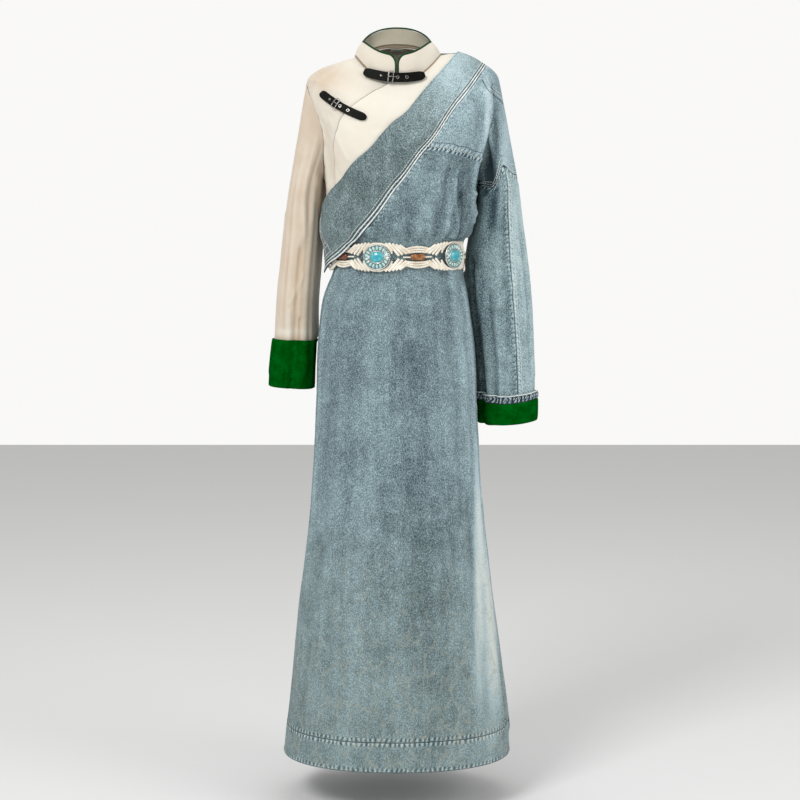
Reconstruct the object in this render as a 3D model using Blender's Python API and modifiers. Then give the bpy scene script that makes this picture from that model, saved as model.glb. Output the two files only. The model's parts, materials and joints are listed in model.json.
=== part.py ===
"""One-shoulder robe with a standing collar, filled out as worn, with no wearer.

X runs to the wearer's left, Y to the wearer's back and Z up. The origin is the middle of the neck
at the height of the shoulders. A point of the body is found by its angle round the wearer (0 is
the front, 90 the wearer's left, 180 the back) and its level, counted down the rows of RINGS.
"""

import math
from collections import namedtuple

import bmesh
import bpy
from mathutils import Matrix, Vector

MM = 0.001
GAP = 0.3 * MM

# Cloth walls
KNIT_WALL = 1.6 * MM
DENIM_WALL = 1.6 * MM
COLLAR_WALL = 2.6 * MM

# How far the outer face of each layer stands off the rings
SHIRT_OUT = -2.8 * MM
CROSSED_OUT = 0.0
ROBE_OUT = 2.4 * MM
SKIRT_OUT = 0.0
BELT_IN = 4.2 * MM
BELT_WALL = 3.0 * MM

# The cross sections are squarer than an ellipse by this power
ROUNDNESS = 2.0 / 2.2

# Half sizes and heights of the filled garment, in millimetres
Ring = namedtuple("Ring", "place right left right_z left_z front front_z back back_z")
RINGS = (
    Ring("neck", 76, 80, 16, 17, 66, -36, 58, 40),
    Ring("collar bone", 112, 112, 5, 19, 86, -66, 74, 26),
    Ring("shoulder", 146, 150, -8, 4, 102, -102, 90, -4),
    Ring("shoulder tip", 168, 184, -34, -28, 108, -137, 98, -52),
    Ring("middle of armhole", 160, 176, -100, -95, 112, -174, 102, -115),
    Ring("underarm", 136, 146, -205, -208, 112, -217, 104, -197),
    Ring("chest", 132, 141, -262, -260, 108, -266, 99, -258),
    Ring("blouse", 128, 134, -300, -298, 106, -302, 97, -297),
    Ring("top of belt", 117, 121, -322, -319, 100, -323, 91, -319),
    Ring("waist", 114, 118, -348, -345, 97, -350, 88, -345),
    Ring("bottom of belt", 118, 121, -377, -373, 100, -378, 92, -373),
    Ring("high hip", 138, 132, -432, -430, 108, -433, 102, -430),
    Ring("hip", 147, 144, -520, -520, 114, -521, 111, -520),
    Ring("thigh", 151, 149, -640, -640, 119, -641, 119, -640),
    Ring("knee", 162, 160, -820, -820, 130, -821, 130, -820),
    Ring("shin", 184, 180, -1000, -1000, 144, -1001, 146, -1000),
    Ring("above hem", 199, 200, -1150, -1150, 154, -1151, 158, -1150),
    Ring("hem seam", 207, 208, -1219, -1219, 158, -1219, 163, -1219),
    Ring("hem", 213, 212, -1273, -1273, 162, -1273, 167, -1273),
)
COLUMNS = tuple(zip(*[[size * MM for size in ring[1:]] for ring in RINGS]))
SHOULDER_TIP = 3
UNDERARM = 5
BLOUSE = 7
WAIST = 9
HEM_SEAM = 17
HEM = 18

# Diagonal band: its two edges seen from the front, in millimetres, with how far each stands off.
# The first row lies on the shoulder, where only the distance from the neck counts.
Band = namedtuple("Band", "upper_x upper_z lower_x lower_z upper_lift lower_lift bulge")
LAPEL = (
    Band(111, 0, 161, 0, 2.0, 0.0, 0.0),
    Band(59, -41, 106, -82, 1.0, 0.0, 0.5),
    Band(6, -102, 55, -155, 0.5, 0.0, 1.0),
    Band(-51, -160, 14, -210, 0.5, 0.0, 1.0),
    Band(-92, -202, -21, -257, 1.0, 0.5, 1.0),
    Band(-116, -229, -57, -303, 2.0, 5.0, 1.5),
    Band(-129, -252, -93, -349, 4.0, 12.2, 6.0),
    Band(-140, -274, -140, -384, 5.0, 13.5, 9.0),
)
YOKE_STATION = 2
BELT_STATION = 5

# Curved closing edge of the shirt front, seen from the front, in millimetres
CLOSING_EDGE = ((-14, -41), (-43, -54), (-71, -73), (-94, -95), (-107, -127), (-114, -164), (-114, -233))
UNDERLAP_ANGLE = 7.0
UNDERLAP = 0.3
SHOULDER_UNDERLAP = 0.28

# Folds are ridges or troughs along a line over the body: angles, levels, millimetres
Fold = namedtuple("Fold", "place angle level end_angle end_level half_width height")
MM_PER_DEGREE = 2.1
MM_PER_LEVEL = 62.0
SHIRT_FOLDS = (
    Fold("from closing edge to side", -52, 3.6, -70, 5.2, 22, 2.5),
    Fold("below lower strap", -44, 3.2, -60, 5.0, 16, -2.5),
    Fold("from shoulder, back", 235, 2.6, 250, 5.4, 26, 3.0),
    Fold("across back", 190, 2.4, 225, 5.6, 30, -2.5),
)
ROBE_FOLDS = (
    Fold("edge fold in front of the armhole", 60, 3.0, 74, 6.6, 15, 6.0),
    Fold("hollow beside the edge fold", 40, 3.6, 56, 6.4, 20, -2.0),
    Fold("gather above belt, front left", 52, 5.8, 46, 7.5, 13, 5.0),
    Fold("gather above belt, front", 18, 6.0, 14, 7.5, 14, 3.5),
    Fold("hollow above belt", 32, 6.0, 32, 7.4, 13, -1.8),
    Fold("pull under the yoke", 28, 4.4, 24, 6.4, 16, 2.5),
    Fold("gather above belt, side", 76, 6.2, 84, 7.5, 13, 4.0),
    Fold("gather above belt, front right", -22, 6.9, -18, 7.5, 15, 3.0),
    Fold("edge fold behind the armhole", 120, 3.2, 108, 6.6, 18, 6.0),
    Fold("back pull", 150, 3.6, 138, 7.4, 20, 4.0),
    Fold("back hollow", 136, 4.6, 126, 7.4, 16, -1.8),
    Fold("back gather", 172, 5.4, 168, 7.5, 17, 4.0),
    Fold("back gather, right", 200, 6.2, 196, 7.5, 17, 3.5),
)
SKIRT_FOLDS = (
    Fold("side ridge, left", 68, 10.6, 69, 16.6, 15, 5.0),
    Fold("side hollow, left", 80, 11.4, 79, 16.8, 17, -9.0),
    Fold("rear side ridge, left", 102, 14.0, 94, 17.2, 20, 5.0),
    Fold("hip pull, left", 52, 9.8, 55, 13.6, 17, 3.5),
    Fold("hip hollow, left", 41, 10.0, 44, 14.0, 18, -2.5),
    Fold("side ridge, right", -66, 10.0, -72, 14.4, 14, 4.0),
    Fold("side hollow, right", -77, 10.2, -81, 14.0, 13, -4.0),
    Fold("front sweep", -12, 11.4, -24, 17.0, 36, 3.0),
    Fold("front hollow", 12, 12.0, 20, 17.2, 34, -3.0),
    Fold("back fold, left", 124, 10.2, 118, 17.4, 24, 7.0),
    Fold("back hollow, left", 142, 10.6, 139, 17.4, 24, -5.0),
    Fold("back fold, middle", 166, 10.2, 170, 17.0, 28, 6.0),
    Fold("back hollow, right", 192, 10.8, 197, 17.4, 25, -5.0),
    Fold("back fold, right", 218, 10.2, 224, 17.2, 25, 7.0),
    Fold("rear side hollow, right", 243, 11.0, 246, 16.6, 20, -5.0),
)

# Sleeves hang from the armhole through these rings, in millimetres from the middle of the body
Cuff = namedtuple("Cuff", "place x y z half_width half_depth tilt")
SHIRT_ARM = (
    Cuff("upper arm", 168, 4, -225, 31, 49, -4),
    Cuff("above elbow", 177, 10, -318, 33, 47, 0),
    Cuff("elbow", 187, 16, -425, 35, 45, 0),
    Cuff("above cuff", 190, 22, -500, 36.5, 44, 1),
    Cuff("cuff end", 197, 24, -594, 37, 43, 2),
)
ROBE_ARM = (
    Cuff("dropped seam", 186, 6, -208, 34, 57, 9),
    Cuff("upper arm", 187, 10, -262, 41, 55, 4),
    Cuff("waist height", 187, 16, -345, 54, 51, 0),
    Cuff("elbow", 193, 22, -430, 57.5, 48, 0),
    Cuff("lower arm", 201, 29, -520, 54, 46, 0),
    Cuff("above cuff", 206, 35, -598, 52, 44, 0),
    Cuff("cuff end", 207, 37, -660, 49, 42, 2),
)
Armhole = namedtuple("Armhole", "side front_swing back_swing")
SHIRT_ARMHOLE = Armhole(-1, 34, 30)
ROBE_ARMHOLE = Armhole(1, 27, 26)

# Sleeve folds: angle from the outer side through the front, station down the sleeve, millimetres
SHIRT_ARM_FOLDS = (
    Fold("front crease", 96, 2.2, 92, 5.2, 10, -4.0),
    Fold("front ridge", 66, 0.6, 70, 4.4, 14, 2.5),
    Fold("inner front ridge", 128, 0.8, 122, 4.6, 13, 2.5),
    Fold("back crease", 262, 1.8, 266, 5.0, 12, -4.0),
    Fold("back ridge", 296, 0.6, 290, 4.6, 14, 2.5),
)
ROBE_ARM_FOLDS = (
    Fold("hollow beside the body", 118, 0.45, 142, 1.4, 19, -9.0),
    Fold("inner fold", 136, 3.4, 130, 7.2, 12, 4.0),
    Fold("inner hollow", 156, 3.2, 154, 7.2, 14, -9.0),
    Fold("front ridge", 92, 1.4, 96, 5.2, 16, 3.5),
    Fold("front hollow", 76, 2.0, 80, 6.0, 12, -2.5),
    Fold("outer pull", 28, 1.2, 20, 5.6, 15, 3.0),
    Fold("back hollow", 238, 0.5, 222, 2.0, 18, -7.0),
    Fold("back ridge", 268, 1.4, 262, 5.6, 17, 4.0),
    Fold("back pull", 306, 1.6, 312, 5.8, 16, 3.0),
)
ARM_MM_PER_DEGREE = 0.9
ARM_MM_PER_STATION = 80.0
STEP_ANGLE = 18

# Collar: half sizes and heights of its rim, in millimetres
RIM_HALF_WIDTH = 64 * MM
RIM_FRONT = 77 * MM
RIM_BACK = 71 * MM
RIM_SIDE_Z = 40 * MM
RIM_FRONT_Z = 8 * MM
RIM_BACK_Z = 73 * MM
COLLAR_CORNER = 0.36
COLLAR_HALF_ANGLES = (2.2, 3.6, 5.5, 8, 11, 16, 24, 34, 46, 58, 70, 82, 94, 106, 118, 130, 142, 154, 167, 180)
PIPING_RADIUS = 1.5 * MM

# Closures: the middle line of each strap pair from its left end, in millimetres
Closure = namedtuple("Closure", "name left middle right height buckle prong_hole spare_hole rivet")
CLOSURES = (
    Closure("upper", (-59, -58, -18), (-4, -74.0, -30), (50, -67.6, -25), 17, 0.44, 0.55, 0.70, 0.28),
    Closure("lower", (-136, -62, -56), (-98, -88, -84), (-54, -101.6, -104), 15, 0.37, 0.47, 0.64, 0.23),
)
STRAP_WALL = 2.4 * MM
STRAP_LEAN = 0.12

# Belt
PLATE_SPACING = 144 * MM
PLATE_PLACES = (-2, -1, 0, 1)
BEAD_PLACES = (-1.5, -0.5, 0.5)
FIRST_PLATE_ANGLE = -15.0
BELT_END = 40 * MM
BELT_TAPER = 14 * MM
BELT_LEVEL = 27 * MM
BELT_HALF_HEIGHT = 26 * MM
BEAD_HALF_HEIGHT = 20.5 * MM
PLATE_HALF_WIDTH = 24.5 * MM
PLATE_HALF_HEIGHT = 22.5 * MM
STONE_HALF_WIDTH = 13 * MM
STONE_HALF_HEIGHT = 9.5 * MM
BEAD_LENGTH = 26 * MM
BEAD_RADIUS = 6.2 * MM
TIE_HALF_HEIGHT = 6 * MM
KNOT_ANGLE = 108.0
TAIL_RADIUS = 2.0 * MM

# Colour, roughness, metallic
LOOKS = {
    "cream_knit": ((0.80, 0.70, 0.55), 0.9, 0.0),
    "green_knit": ((0.0, 0.075, 0.012), 0.85, 0.0),
    "green_piping": ((0.006, 0.05, 0.016), 0.7, 0.0),
    "washed_denim": ((0.19, 0.26, 0.28), 0.9, 0.0),
    "lapel_denim": ((0.30, 0.41, 0.45), 0.9, 0.0),
    "sleeve_denim": ((0.37, 0.47, 0.47), 0.9, 0.0),
    "dark_denim": ((0.05, 0.09, 0.12), 0.9, 0.0),
    "black_leather": ((0.008, 0.007, 0.005), 0.45, 0.0),
    "silver_metal": ((0.72, 0.70, 0.65), 0.3, 1.0),
    "belt_cord": ((0.84, 0.77, 0.62), 0.85, 0.0),
    "turquoise_stone": ((0.10, 0.52, 0.58), 0.25, 0.0),
    "amber_bead": ((0.42, 0.20, 0.05), 0.3, 0.0),
    "label_cloth": ((0.80, 0.77, 0.68), 0.8, 0.0),
}


# Start from an empty scene
for old in list(bpy.data.objects):
    bpy.data.objects.remove(old, do_unlink=True)
robe = bpy.data.collections.new("chuba_robe")
bpy.context.scene.collection.children.link(robe)


def finish(name, mesh, look):
    """Add a mesh to the robe under its own name and material."""
    material = bpy.data.materials.get(look)
    if material is None:
        material = bpy.data.materials.new(look)
        material.use_nodes = True
        colour, roughness, metallic = LOOKS[look]
        shader = material.node_tree.nodes["Principled BSDF"]
        shader.inputs["Base Color"].default_value = (*colour, 1.0)
        shader.inputs["Roughness"].default_value = roughness
        shader.inputs["Metallic"].default_value = metallic
    mesh.materials.append(material)
    mesh.shade_smooth()
    mesh.set_sharp_from_angle(angle=math.radians(50))
    piece = bpy.data.objects.new(name, mesh)
    robe.objects.link(piece)
    return piece


# Curves through evenly numbered values


def mix(a, b, share):
    return a + (b - a) * share


def smooth(share):
    share = min(max(share, 0.0), 1.0)
    return share * share * (3 - 2 * share)


def spline(values, place):
    """A smooth curve through values at 0, 1, 2 and so on."""
    first = min(max(math.floor(place), 0), len(values) - 2)
    f = place - first
    before, start = values[max(first - 1, 0)], values[first]
    end, after = values[first + 1], values[min(first + 2, len(values) - 1)]
    start_slope, end_slope = (end - before) * 0.5, (after - start) * 0.5
    return (
        start * (2 * f**3 - 3 * f**2 + 1)
        + end * (3 * f**2 - 2 * f**3)
        + start_slope * (f**3 - 2 * f**2 + f)
        + end_slope * (f**3 - f**2)
    )


def resample(points, count):
    """Spread count points evenly along a line of points."""
    lengths = [0.0]
    for a, b in zip(points, points[1:]):
        lengths.append(lengths[-1] + (b - a).length)
    spread = []
    for index in range(count):
        wanted = lengths[-1] * index / (count - 1)
        step = max(i for i in range(len(points) - 1) if lengths[i] <= wanted + 1e-12)
        share = (wanted - lengths[step]) / max(lengths[step + 1] - lengths[step], 1e-12)
        spread.append(points[step].lerp(points[step + 1], share))
    return spread


# The body of the garment


def body(angle, level):
    """The point of the filled garment at an angle round it and a level down it."""
    right, left, right_z, left_z, front, front_z, back, back_z = (spline(c, level) for c in COLUMNS)
    s, c = math.sin(math.radians(angle)), math.cos(math.radians(angle))
    x = (left if s > 0 else -right) * abs(s) ** ROUNDNESS
    y = (-front if c > 0 else back) * abs(c) ** ROUNDNESS
    side_z = mix(right_z, left_z, (1 + s) / 2)
    z = mix(side_z, front_z if c > 0 else back_z, c * c)
    return Vector((x, y, z))


def body_normal(angle, level):
    down = body(angle, min(level + 0.05, HEM)) - body(angle, max(level - 0.05, 0))
    across = body(angle + 1, level) - body(angle - 1, level)
    return down.cross(across).normalized()


def relief(folds, angle, level, degree_size, level_size):
    """How far the folds lift the cloth at a place, in metres."""
    total = 0.0
    for fold in folds:
        nearest = round((angle - fold.angle) / 360) * 360
        here = Vector(((angle - nearest) * degree_size, level * level_size))
        start = Vector((fold.angle * degree_size, fold.level * level_size))
        end = Vector((fold.end_angle * degree_size, fold.end_level * level_size))
        along = (here - start).dot(end - start) / (end - start).length_squared
        near = start.lerp(end, min(max(along, 0.0), 1.0))
        away = (here - near).length / fold.half_width
        if away < 1:
            total += fold.height * MM * math.cos(away * math.pi / 2) ** 2
    return total


def on_body(place, out, folds=()):
    """A point of a layer. A place is an angle, a level and an extra lift in millimetres."""
    angle, level, lift = place
    height = out + lift * MM + relief(folds, angle, level, MM_PER_DEGREE, MM_PER_LEVEL)
    return body(angle, level) + body_normal(angle, level) * height


def find(x, z):
    """The place on the front that is seen at x and z, in millimetres."""
    angle = 0.0
    for _ in range(24):
        low, high = 0.0, float(HEM)
        for _ in range(30):
            level = (low + high) / 2
            if body(angle, level).z > z * MM:
                low = level
            else:
                high = level
        half = spline(COLUMNS[1] if x > 0 else COLUMNS[0], level)
        share = min(abs(x) * MM / half, 1.0)
        angle = math.copysign(math.degrees(math.asin(share ** (1 / ROUNDNESS))), x)
    return Vector((angle, level, 0.0))


def shoulder_level(x):
    """The level at which the left shoulder reaches x, in millimetres."""
    low, high = 0.0, float(SHOULDER_TIP)
    for _ in range(30):
        middle = (low + high) / 2
        if spline(COLUMNS[1], middle) < x * MM:
            low = middle
        else:
            high = middle
    return low


def behind(place):
    """The same place on the back."""
    return Vector((180 - place.x, place.y, place.z))


# Cloth walls


def wall(name, outer, inner, look, closed=False, cut=()):
    """A wall between two grids of points, less the cells in cut."""
    rows, columns = len(outer), len(outer[0])
    count = rows * columns
    points = [p for row in outer for p in row] + [p for row in inner for p in row]
    faces = []
    for row in range(rows - 1):
        for column in range(columns if closed else columns - 1):
            if (row, column) not in cut:
                beside = (column + 1) % columns
                faces.append(
                    (
                        row * columns + column,
                        (row + 1) * columns + column,
                        (row + 1) * columns + beside,
                        row * columns + beside,
                    )
                )
    edges = {(face[i], face[(i + 1) % 4]) for face in faces for i in range(4)}
    rims = [(b, a, a + count, b + count) for a, b in edges if (b, a) not in edges]
    backs = [(a + count, d + count, c + count, b + count) for a, b, c, d in faces]
    mesh = bpy.data.meshes.new(name)
    mesh.from_pydata(points, [], faces + backs + sorted(rims))
    shape = bmesh.new()
    shape.from_mesh(mesh)
    bmesh.ops.delete(shape, geom=[v for v in shape.verts if not v.link_faces], context="VERTS")
    if shape.calc_volume(signed=True) < 0:
        bmesh.ops.reverse_faces(shape, faces=shape.faces)
    shape.to_mesh(mesh)
    shape.free()
    return finish(name, mesh, look)


def part_from(grid, edges):
    """Draw the named edges of a grid in by half the gap."""
    moved = [[p.copy() for p in row] for row in grid]
    last_row, last_column = len(grid) - 1, len(grid[0]) - 1
    for row in range(len(grid)):
        for column in range(len(grid[0])):
            if row == 0 and "top" in edges:
                moved[row][column] += (grid[1][column] - grid[0][column]).normalized() * GAP / 2
            if row == last_row and "bottom" in edges:
                moved[row][column] += (grid[row - 1][column] - grid[row][column]).normalized() * GAP / 2
            if column == 0 and "first" in edges:
                moved[row][column] += (grid[row][1] - grid[row][0]).normalized() * GAP / 2
            if column == last_column and "last" in edges:
                moved[row][column] += (grid[row][column - 1] - grid[row][column]).normalized() * GAP / 2
    return moved


def cloth(name, outer, inner, look, edges, **more):
    return wall(name, part_from(outer, edges), part_from(inner, edges), look, **more)


def between(first, last, columns):
    """Rows of places, straight across from one line of places to another."""
    return [[a.lerp(b, i / columns) for i in range(columns + 1)] for a, b in zip(first, last)]


def panel(name, places, out, thick, look, edges, folds=(), back=False):
    """A wall on the body from rows of places."""
    if back:
        places = [[behind(p) for p in row] for row in places]
    outer = [[on_body(p, out, folds) for p in row] for row in places]
    inner = [[on_body(p, out - thick, folds) for p in row] for row in places]
    return cloth(name, outer, inner, look, edges)


# Armholes and sleeves


def armhole(hole, phi):
    """The place on the armhole at phi: 0 at the shoulder, 90 in front, 180 under the arm."""
    share = (1 - math.cos(math.radians(phi))) / 2
    level = mix(SHOULDER_TIP, UNDERARM, share)
    swing = math.sin(math.pi * share) ** 0.6 if 0 < share < 1 else 0.0
    if phi % 360 > 180:
        return Vector((hole.side * (90 + hole.back_swing * swing), level, 0.0))
    return Vector((hole.side * (90 - hole.front_swing * swing), level, 0.0))


def arm_ring(hole, ring, phi):
    c, s = math.cos(math.radians(phi)), math.sin(math.radians(phi))
    x = ring.x + ring.half_width * c
    y = ring.y - ring.half_depth * s
    return Vector((hole.side * x, y, ring.z + ring.tilt * c)) * MM


def arm_plain(hole, rings, out, folds, phi, station):
    line = [on_body(armhole(hole, phi), out, folds)] + [arm_ring(hole, ring, phi) for ring in rings]
    return spline(line, station)


class Arm:
    """A sleeve as a surface: phi round it and station down it, 0 at the armhole."""

    def __init__(self, hole, rings, out, body_folds, folds):
        self.hole, self.rings, self.out = hole, rings, out
        self.body_folds, self.folds = body_folds, folds

    def plain(self, phi, station):
        return arm_plain(self.hole, self.rings, self.out, self.body_folds, phi, station)

    def normal(self, phi, station):
        low, high = max(station - 0.05, 0.0), min(station + 0.05, len(self.rings))
        down = self.plain(phi, high) - self.plain(phi, low)
        across = self.plain(phi + 2, station) - self.plain(phi - 2, station)
        return down.cross(across).normalized() * -self.hole.side

    def point(self, phi, station, depth=0.0):
        if station == 0:
            place = armhole(self.hole, phi)
            away = body_normal(place.x, place.y) + self.normal(phi, 0)
            return self.plain(phi, 0) - away.normalized() * depth
        size = relief(self.folds, phi % 360, station, ARM_MM_PER_DEGREE, ARM_MM_PER_STATION)
        size *= smooth(station / 0.4)
        return self.plain(phi, station) + self.normal(phi, station) * (size - depth)

    def grid(self, phis, stations, depth):
        return [[self.point(phi, station, depth) for phi in phis] for station in stations]


shirt_arm = Arm(SHIRT_ARMHOLE, SHIRT_ARM, SHIRT_OUT, SHIRT_FOLDS, SHIRT_ARM_FOLDS)
robe_arm = Arm(ROBE_ARMHOLE, ROBE_ARM, ROBE_OUT, ROBE_FOLDS, ROBE_ARM_FOLDS)
HALF_ROUND = [STEP_ANGLE * i for i in range(180 // STEP_ANGLE + 1)]
ROUND = [STEP_ANGLE * i for i in range(360 // STEP_ANGLE)]


# The diagonal band as a surface: station along it and share across it


def band_edges():
    upper = [Vector((90, shoulder_level(LAPEL[0].upper_x), LAPEL[0].upper_lift))]
    lower = [Vector((90, shoulder_level(LAPEL[0].lower_x), LAPEL[0].lower_lift))]
    for row in LAPEL[1:]:
        upper.append(find(row.upper_x, row.upper_z) + Vector((0, 0, row.upper_lift)))
        lower.append(find(row.lower_x, row.lower_z) + Vector((0, 0, row.lower_lift)))
    return upper, lower


UPPER_EDGE, LOWER_EDGE = band_edges()
BULGES = [row.bulge for row in LAPEL]


def band(station, across):
    """A place on the band, 0 at its upper edge and 1 at its lower edge."""
    place = spline(UPPER_EDGE, station).lerp(spline(LOWER_EDGE, station), across)
    place.z += spline(BULGES, station) * math.sin(math.pi * across)
    place.x = max(place.x, -90.0)
    return place


# The bodice's edge leaves the band above the belt and runs on under it to the side seam
UNDER_BAND = ((-44, 7.5), (-52, 8.0), (-62, 8.4), (-75, 8.8), (-90, 9.2))
YOKE_ROWS = len(HALF_ROUND) - 1
BODICE_ROWS = 6
TOP_COLUMNS = 12
SEAM_SAG = 0.27
END_ROWS = 5
YOKE_STATIONS = [YOKE_STATION * i / YOKE_ROWS for i in range(YOKE_ROWS + 1)]
BODICE_STATIONS = [mix(YOKE_STATION, BELT_STATION, i / BODICE_ROWS) for i in range(BODICE_ROWS + 1)]
END_STATIONS = [mix(BELT_STATION, len(LAPEL) - 1, i / END_ROWS) for i in range(END_ROWS + 1)]


def hidden_edge(first, last, count):
    """Places under the band where the shirt ends, out of sight."""
    stations = [mix(first, last, i / (count - 1)) for i in range(count)]
    shares = [UNDERLAP + SHOULDER_UNDERLAP * math.sin(math.pi * min(s, 2) / 2) for s in stations]
    places = [band(station, share) for station, share in zip(stations, shares)]
    return [Vector((p.x, p.y, 0.0)) for p in places]


# Cream shirt


def shirt_side(count):
    """The right edge of the shirt: shoulder seam, armhole, side seam."""
    line = [Vector((-90, SHOULDER_TIP * i / 4, 0)) for i in range(4)]
    line += [armhole(SHIRT_ARMHOLE, phi) for phi in HALF_ROUND]
    end = band(len(LAPEL) - 1, UNDERLAP)
    line += [Vector((-90, mix(UNDERARM, end.y, (i + 1) / count), 0)) for i in range(count)]
    return line


def shirt():
    side = shirt_side(3)
    closing = [find(x, z) for x, z in CLOSING_EDGE]
    closing[0] = Vector((-5, 0, 0))
    under = [p + Vector((UNDERLAP_ANGLE, 0, 0)) for p in closing] + hidden_edge(5.1, 6.4, 4)
    rows = between(side, resample(under, len(side)), 6)
    panel("shirt_front_under", rows, SHIRT_OUT, KNIT_WALL, "cream_knit", ("top", "first"), SHIRT_FOLDS)

    far = [Vector((90, shoulder_level(LAPEL[0].upper_x) * i / 2, 0)) for i in range(2)]
    far += hidden_edge(0, 4.9, 14)
    closing.append(find(-112, -250))
    rows = between(resample(closing, len(far)), far, 10)
    panel("shirt_front_crossed", rows, CROSSED_OUT, KNIT_WALL, "cream_knit", ("top", "last"), SHIRT_FOLDS)

    far = [Vector((90, shoulder_level(LAPEL[0].upper_x) * i / 2, 0)) for i in range(2)]
    far += hidden_edge(0, 6.4, len(side) - 2)
    rows = between(side, far, 10)
    edges = ("top", "first", "last")
    panel("shirt_back", rows, SHIRT_OUT, KNIT_WALL, "cream_knit", edges, SHIRT_FOLDS, back=True)


def shirt_sleeve():
    stations = (0, 0.3, 0.65, 1, 1.4, 1.8, 2.3, 2.8, 3.3, 3.8, 4.3, 4.95)
    outer = shirt_arm.grid(ROUND, stations, 0)
    inner = shirt_arm.grid(ROUND, stations, KNIT_WALL)
    outer[0] = [p + (q - p).normalized() * GAP for p, q in zip(outer[0], outer[1])]
    inner[0] = [p + (q - p).normalized() * GAP for p, q in zip(inner[0], inner[1])]
    wall("shirt_sleeve", outer, inner, "cream_knit", closed=True)


def turned_cuff(name, arm, profile, look):
    """A cuff folded back over a sleeve, from a table of stations and distances off the sleeve."""
    outer = [[arm.point(phi, station, -away * MM) for phi in ROUND] for station, away, _ in profile]
    inner = [[arm.point(phi, station, -near * MM) for phi in ROUND] for station, _, near in profile]
    wall(name, outer, inner, look, closed=True)


def collar_rim(angle):
    s, c = math.sin(math.radians(angle)), math.cos(math.radians(angle))
    x = RIM_HALF_WIDTH * math.copysign(abs(s) ** ROUNDNESS, s)
    y = (-RIM_FRONT if c > 0 else RIM_BACK) * abs(c) ** ROUNDNESS
    z = mix(RIM_SIDE_Z, RIM_FRONT_Z if c > 0 else RIM_BACK_Z, c * c)
    return Vector((x, y, z))


def collar_point(angle, share, depth):
    """A point of the collar, share 0 at the neck seam and 1 at the rim."""
    half = abs(angle)
    corner = max(0.0, 1 - (half - COLLAR_HALF_ANGLES[0]) / 10)
    top = 1 - COLLAR_CORNER * (1 - math.sqrt(max(0.0, 1 - corner**2)))
    base = body(angle, 0) + Vector((0, 0, 3 * GAP))
    rise = collar_rim(angle) - base
    bow = math.sin(math.pi * share * top) * 2.0 * MM
    across = body(angle + 1, 0) - body(angle - 1, 0)
    away = across.cross(rise).normalized()
    return base + rise * (share * top) + away * (bow - depth)


def collar():
    angles = [-a for a in COLLAR_HALF_ANGLES] + list(reversed(COLLAR_HALF_ANGLES[:-1]))
    shares = (1, 0.66, 0.33, 0)
    outer = [[collar_point(a, share, 0) for a in angles] for share in shares]
    inner = [[collar_point(a, share, COLLAR_WALL) for a in angles] for share in shares]
    wall("collar", outer, inner, "cream_knit")

    edge = [collar_point(angles[0], share, COLLAR_WALL / 2) for share in (0.25, 0.45, 0.7)]
    edge += [collar_point(a, 1, COLLAR_WALL / 2) for a in angles]
    edge += [collar_point(angles[-1], share, COLLAR_WALL / 2) for share in (0.7, 0.45, 0.25)]
    path = []
    for index, p in enumerate(edge):
        along = edge[min(index + 1, len(edge) - 1)] - edge[max(index - 1, 0)]
        angle = angles[min(max(index - 3, 0), len(angles) - 1)]
        flat = (collar_rim(angle) - body(angle, 0)).cross(body(angle + 1, 0) - body(angle - 1, 0))
        side = flat.cross(along).normalized()
        within = angle + math.copysign(12, angle)
        if side.dot(p - collar_point(within, 0.4, COLLAR_WALL / 2)) < 0:
            side = -side
        path.append(p + side * (PIPING_RADIUS + GAP))
    tube("collar_piping", path, PIPING_RADIUS, "green_piping", 1)


def tube(name, path, radius, look, resolution, cyclic=False):
    """A round cord along a path."""
    curve = bpy.data.curves.new(name, "CURVE")
    curve.dimensions = "3D"
    curve.bevel_depth = radius
    curve.bevel_resolution = resolution
    curve.use_fill_caps = True
    line = curve.splines.new("POLY")
    line.points.add(len(path) - 1)
    for point, place in zip(line.points, path):
        point.co = (*place, 1.0)
    line.use_cyclic_u = cyclic
    cord = bpy.data.objects.new(name + "_line", curve)
    robe.objects.link(cord)
    bpy.context.view_layer.update()
    shaped = cord.evaluated_get(bpy.context.evaluated_depsgraph_get())
    mesh = bpy.data.meshes.new_from_object(shaped)
    mesh.name = name
    shape = bmesh.new()
    shape.from_mesh(mesh)
    bmesh.ops.remove_doubles(shape, verts=shape.verts, dist=0.01 * MM)
    shape.to_mesh(mesh)
    shape.free()
    bpy.data.objects.remove(cord, do_unlink=True)
    mesh.materials.clear()
    return finish(name, mesh, look)


def neck_label():
    rows = [[Vector((mix(187, 173, i / 2), mix(0.12, 0.44, j / 2), 0)) for i in range(3)] for j in range(3)]
    inside = SHIRT_OUT - KNIT_WALL - 1.5 * MM
    outer = [[on_body(p, inside, SHIRT_FOLDS) for p in row] for row in rows]
    inner = [[on_body(p, inside - 0.8 * MM, SHIRT_FOLDS) for p in row] for row in rows]
    wall("neck_label", outer, inner, "label_cloth")


# Denim robe


def yoke(name, back):
    """Yoke with its half of the dropped shoulder, down to the seam round the upper arm."""
    neck_side = [band(station, 1) for station in YOKE_STATIONS]
    arm_side = [armhole(ROBE_ARMHOLE, phi) for phi in HALF_ROUND]
    rows = between(neck_side, arm_side, TOP_COLUMNS)
    for index, row in enumerate(rows):
        sag_places(row, (index / YOKE_ROWS) ** 2)
    drop = (0.33, 0.66, 1.0)
    turn = -1 if back else 1
    outer, inner = [], []
    for row, phi in zip(rows, HALF_ROUND):
        places = [behind(p) for p in row] if back else row
        around = turn * phi % 360
        for grid, depth in ((outer, 0.0), (inner, DENIM_WALL)):
            line = [on_body(p, ROBE_OUT - depth, ROBE_FOLDS) for p in places[:-1]]
            line.append(robe_arm.point(around, 0, depth))
            line += [robe_arm.point(around, station, depth) for station in drop]
            grid.append(line)
    cloth(name, outer, inner, "washed_denim", ("top", "bottom", "first", "last"))


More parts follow.
